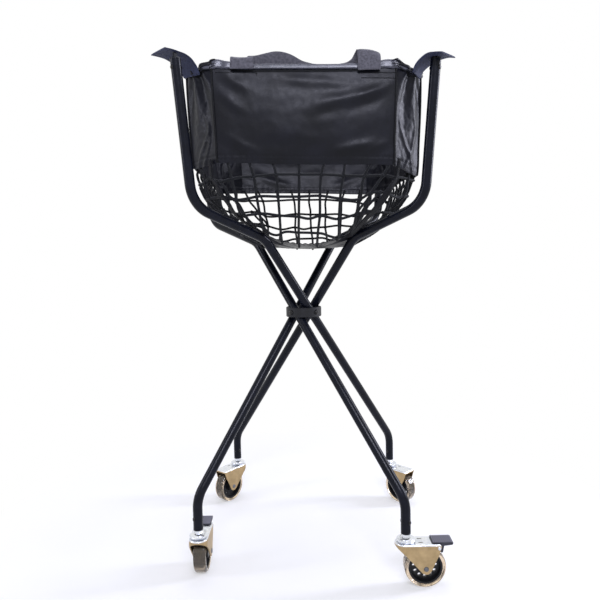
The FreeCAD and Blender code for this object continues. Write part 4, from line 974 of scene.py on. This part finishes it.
def hand_loop(label, turn):
    """A hand loop in two halves that meet in its middle. It is sewn outside the rim, goes over it and
    stands on edge inside, so that its middle shows as a hump; it is cupped where it bends over."""
    for half, spots, quarter in (("left", LOOP_LEFT, 3), ("right", LOOP_RIGHT, 0)):
        share = np.linspace(0, len(spots) - 1, 110)
        line = through(share, np.arange(len(spots)), spots)
        path = turned(line[:, :3], turn)
        side = turned_way(line[:, 3:], turn)
        cup = 4.0 * hump(line[:, 2], LOOP_TOP, 12)
        loop = sweep(path, side, band_outline(39, 2.2, 11), cup=cup)
        piece = add_piece(label + "_" + half, loop, GREY_WEBBING)
        hang(piece, (quarter + turn) % 4)
        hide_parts(label)


for quarter in range(4):
    corner_strap(quarter)
for quarter in range(4):
    cloth_wall(quarter)
    rim_binding(quarter)
    seam_welts(quarter)
    wall_stitches(quarter)
    net_quarter(quarter)
    bottom_cloth(quarter)
    corner_band(quarter)
hand_loop("handle_front", 0)
hand_loop("handle_back", 2)


# Floor, light and camera

def seen_directly(tree):
    """One for what the eye sees straight, in a mirror or through the clear tyre, else zero."""
    path = add(tree, "ShaderNodeLightPath")
    seen = path.outputs["Is Camera Ray"]
    for ray in ("Is Glossy Ray", "Is Transmission Ray"):
        seen = add(tree, "ShaderNodeMath", {0: seen, 1: path.outputs[ray]}, operation="MAXIMUM")
    return seen


def painted_floor(tree):
    """Pale matt paint that keeps a lightened shadow near the object and turns to plain white, as seen
    directly, 0.35 to 0.75 m from its middle."""
    place = add(tree, "ShaderNodeTexCoord").outputs["Object"]
    cloud = add(tree, "ShaderNodeTexNoise", {"Vector": place, "Scale": per(333)})
    tint = add(tree, "ShaderNodeValToRGB", {"Fac": cloud}, [(0.3, "#f7f7f7"), (0.7, "#fcfcfc")])
    matt = add(tree, "ShaderNodeBsdfPrincipled", {
        "Base Color": tint, "Roughness": 0.8, "Specular IOR Level": 0.1,
    })
    far = add(tree, "ShaderNodeVectorMath", {0: place}, operation="LENGTH").outputs["Value"]
    fade = add(tree, "ShaderNodeMapRange", {"Value": far, "From Min": 0.35, "From Max": 0.75})
    some = add(tree, "ShaderNodeMath", {0: fade, 1: 0.35}, operation="MAXIMUM")
    plain = add(tree, "ShaderNodeMath", {0: some, 1: seen_directly(tree)}, operation="MULTIPLY")
    white = add(tree, "ShaderNodeEmission", {"Color": linear("#ffffff"), "Strength": 1.0})
    return add(tree, "ShaderNodeMixShader", {"Fac": plain, 1: matt, 2: white})


def studio_floor():
    """A level square at the floor, 12 m wide."""
    size = 6.0
    mesh = bpy.data.meshes.new("floor")
    corners = [(-size, -size, 0), (size, -size, 0), (size, size, 0), (-size, size, 0)]
    mesh.from_pydata(corners, [], [(0, 1, 2, 3)])
    mesh.materials.append(finished("studio_floor", painted_floor))
    floor = bpy.data.objects.new("floor", mesh)
    bpy.context.scene.collection.objects.link(floor)


def white_surround():
    """An even white surround, that lights the object at a third of how bright it is seen."""
    world = bpy.data.worlds.new("studio")
    bpy.context.scene.world = world
    world.use_nodes = True
    tree = world.node_tree
    tree.nodes.clear()
    level = add(tree, "ShaderNodeMapRange", {"Value": seen_directly(tree), "To Min": 0.35, "To Max": 1.0})
    light = add(tree, "ShaderNodeBackground", {"Color": linear("#ffffff"), "Strength": level})
    add(tree, "ShaderNodeOutputWorld", {"Surface": light})


def stand(name, data, right, up, back, place):
    """A lamp's or camera's object, by its three directions and its place."""
    thing = bpy.data.objects.new(name, data)
    bpy.context.scene.collection.objects.link(thing)
    rows = [[right[axis], up[axis], back[axis], place[axis]] for axis in range(3)]
    thing.matrix_world = Matrix(rows + [[0, 0, 0, 1]])
    return thing


def soft_box(name, place, target, size, power):
    """A large lamp that faces a target."""
    lamp = bpy.data.lights.new(name, "AREA")
    lamp.shape = "RECTANGLE"
    lamp.size, lamp.size_y = size
    lamp.energy = power
    lamp.color = linear("#e9ebff")[:3]
    back = unit(np.array(place, float) - np.array(target, float))
    right = unit(np.cross(UP, back))
    stand(name, lamp, right, np.cross(back, right), back, place)


def camera():
    """The photograph's view: from in front at about the ring's height, level, slightly rolled."""
    yaw, pitch, roll = -0.0045, 0.067, -0.022
    place = np.array([-2.14, -1186.4, 588.7]) * MM
    ahead = np.array([math.sin(yaw) * math.cos(pitch), math.cos(yaw) * math.cos(pitch), -math.sin(pitch)])
    right = np.array([math.cos(yaw), -math.sin(yaw), 0])
    up = np.cross(right, ahead)
    data = bpy.data.cameras.new("camera")
    data.lens = 33.53
    data.sensor_width = 36.0
    bpy.context.scene.camera = stand(
        "camera", data, math.cos(roll) * right + math.sin(roll) * up,
        math.cos(roll) * up - math.sin(roll) * right, -ahead, place,
    )


studio_floor()
white_surround()
soft_box("front", (0.25, -2.4, 2.1), (0, 0, 0.7), (1.2, 0.5), 50)
soft_box("left", (-2.3, -0.7, 1.5), (0, 0, 0.6), (0.35, 1.5), 16)
soft_box("right", (2.3, 0.3, 1.3), (0, 0, 0.6), (0.4, 1.5), 46)
soft_box("top", (0.1, 0.4, 2.7), (0, 0, 0.6), (1.2, 1.2), 26)
camera()
bpy.context.scene.view_settings.view_transform = "Standard"
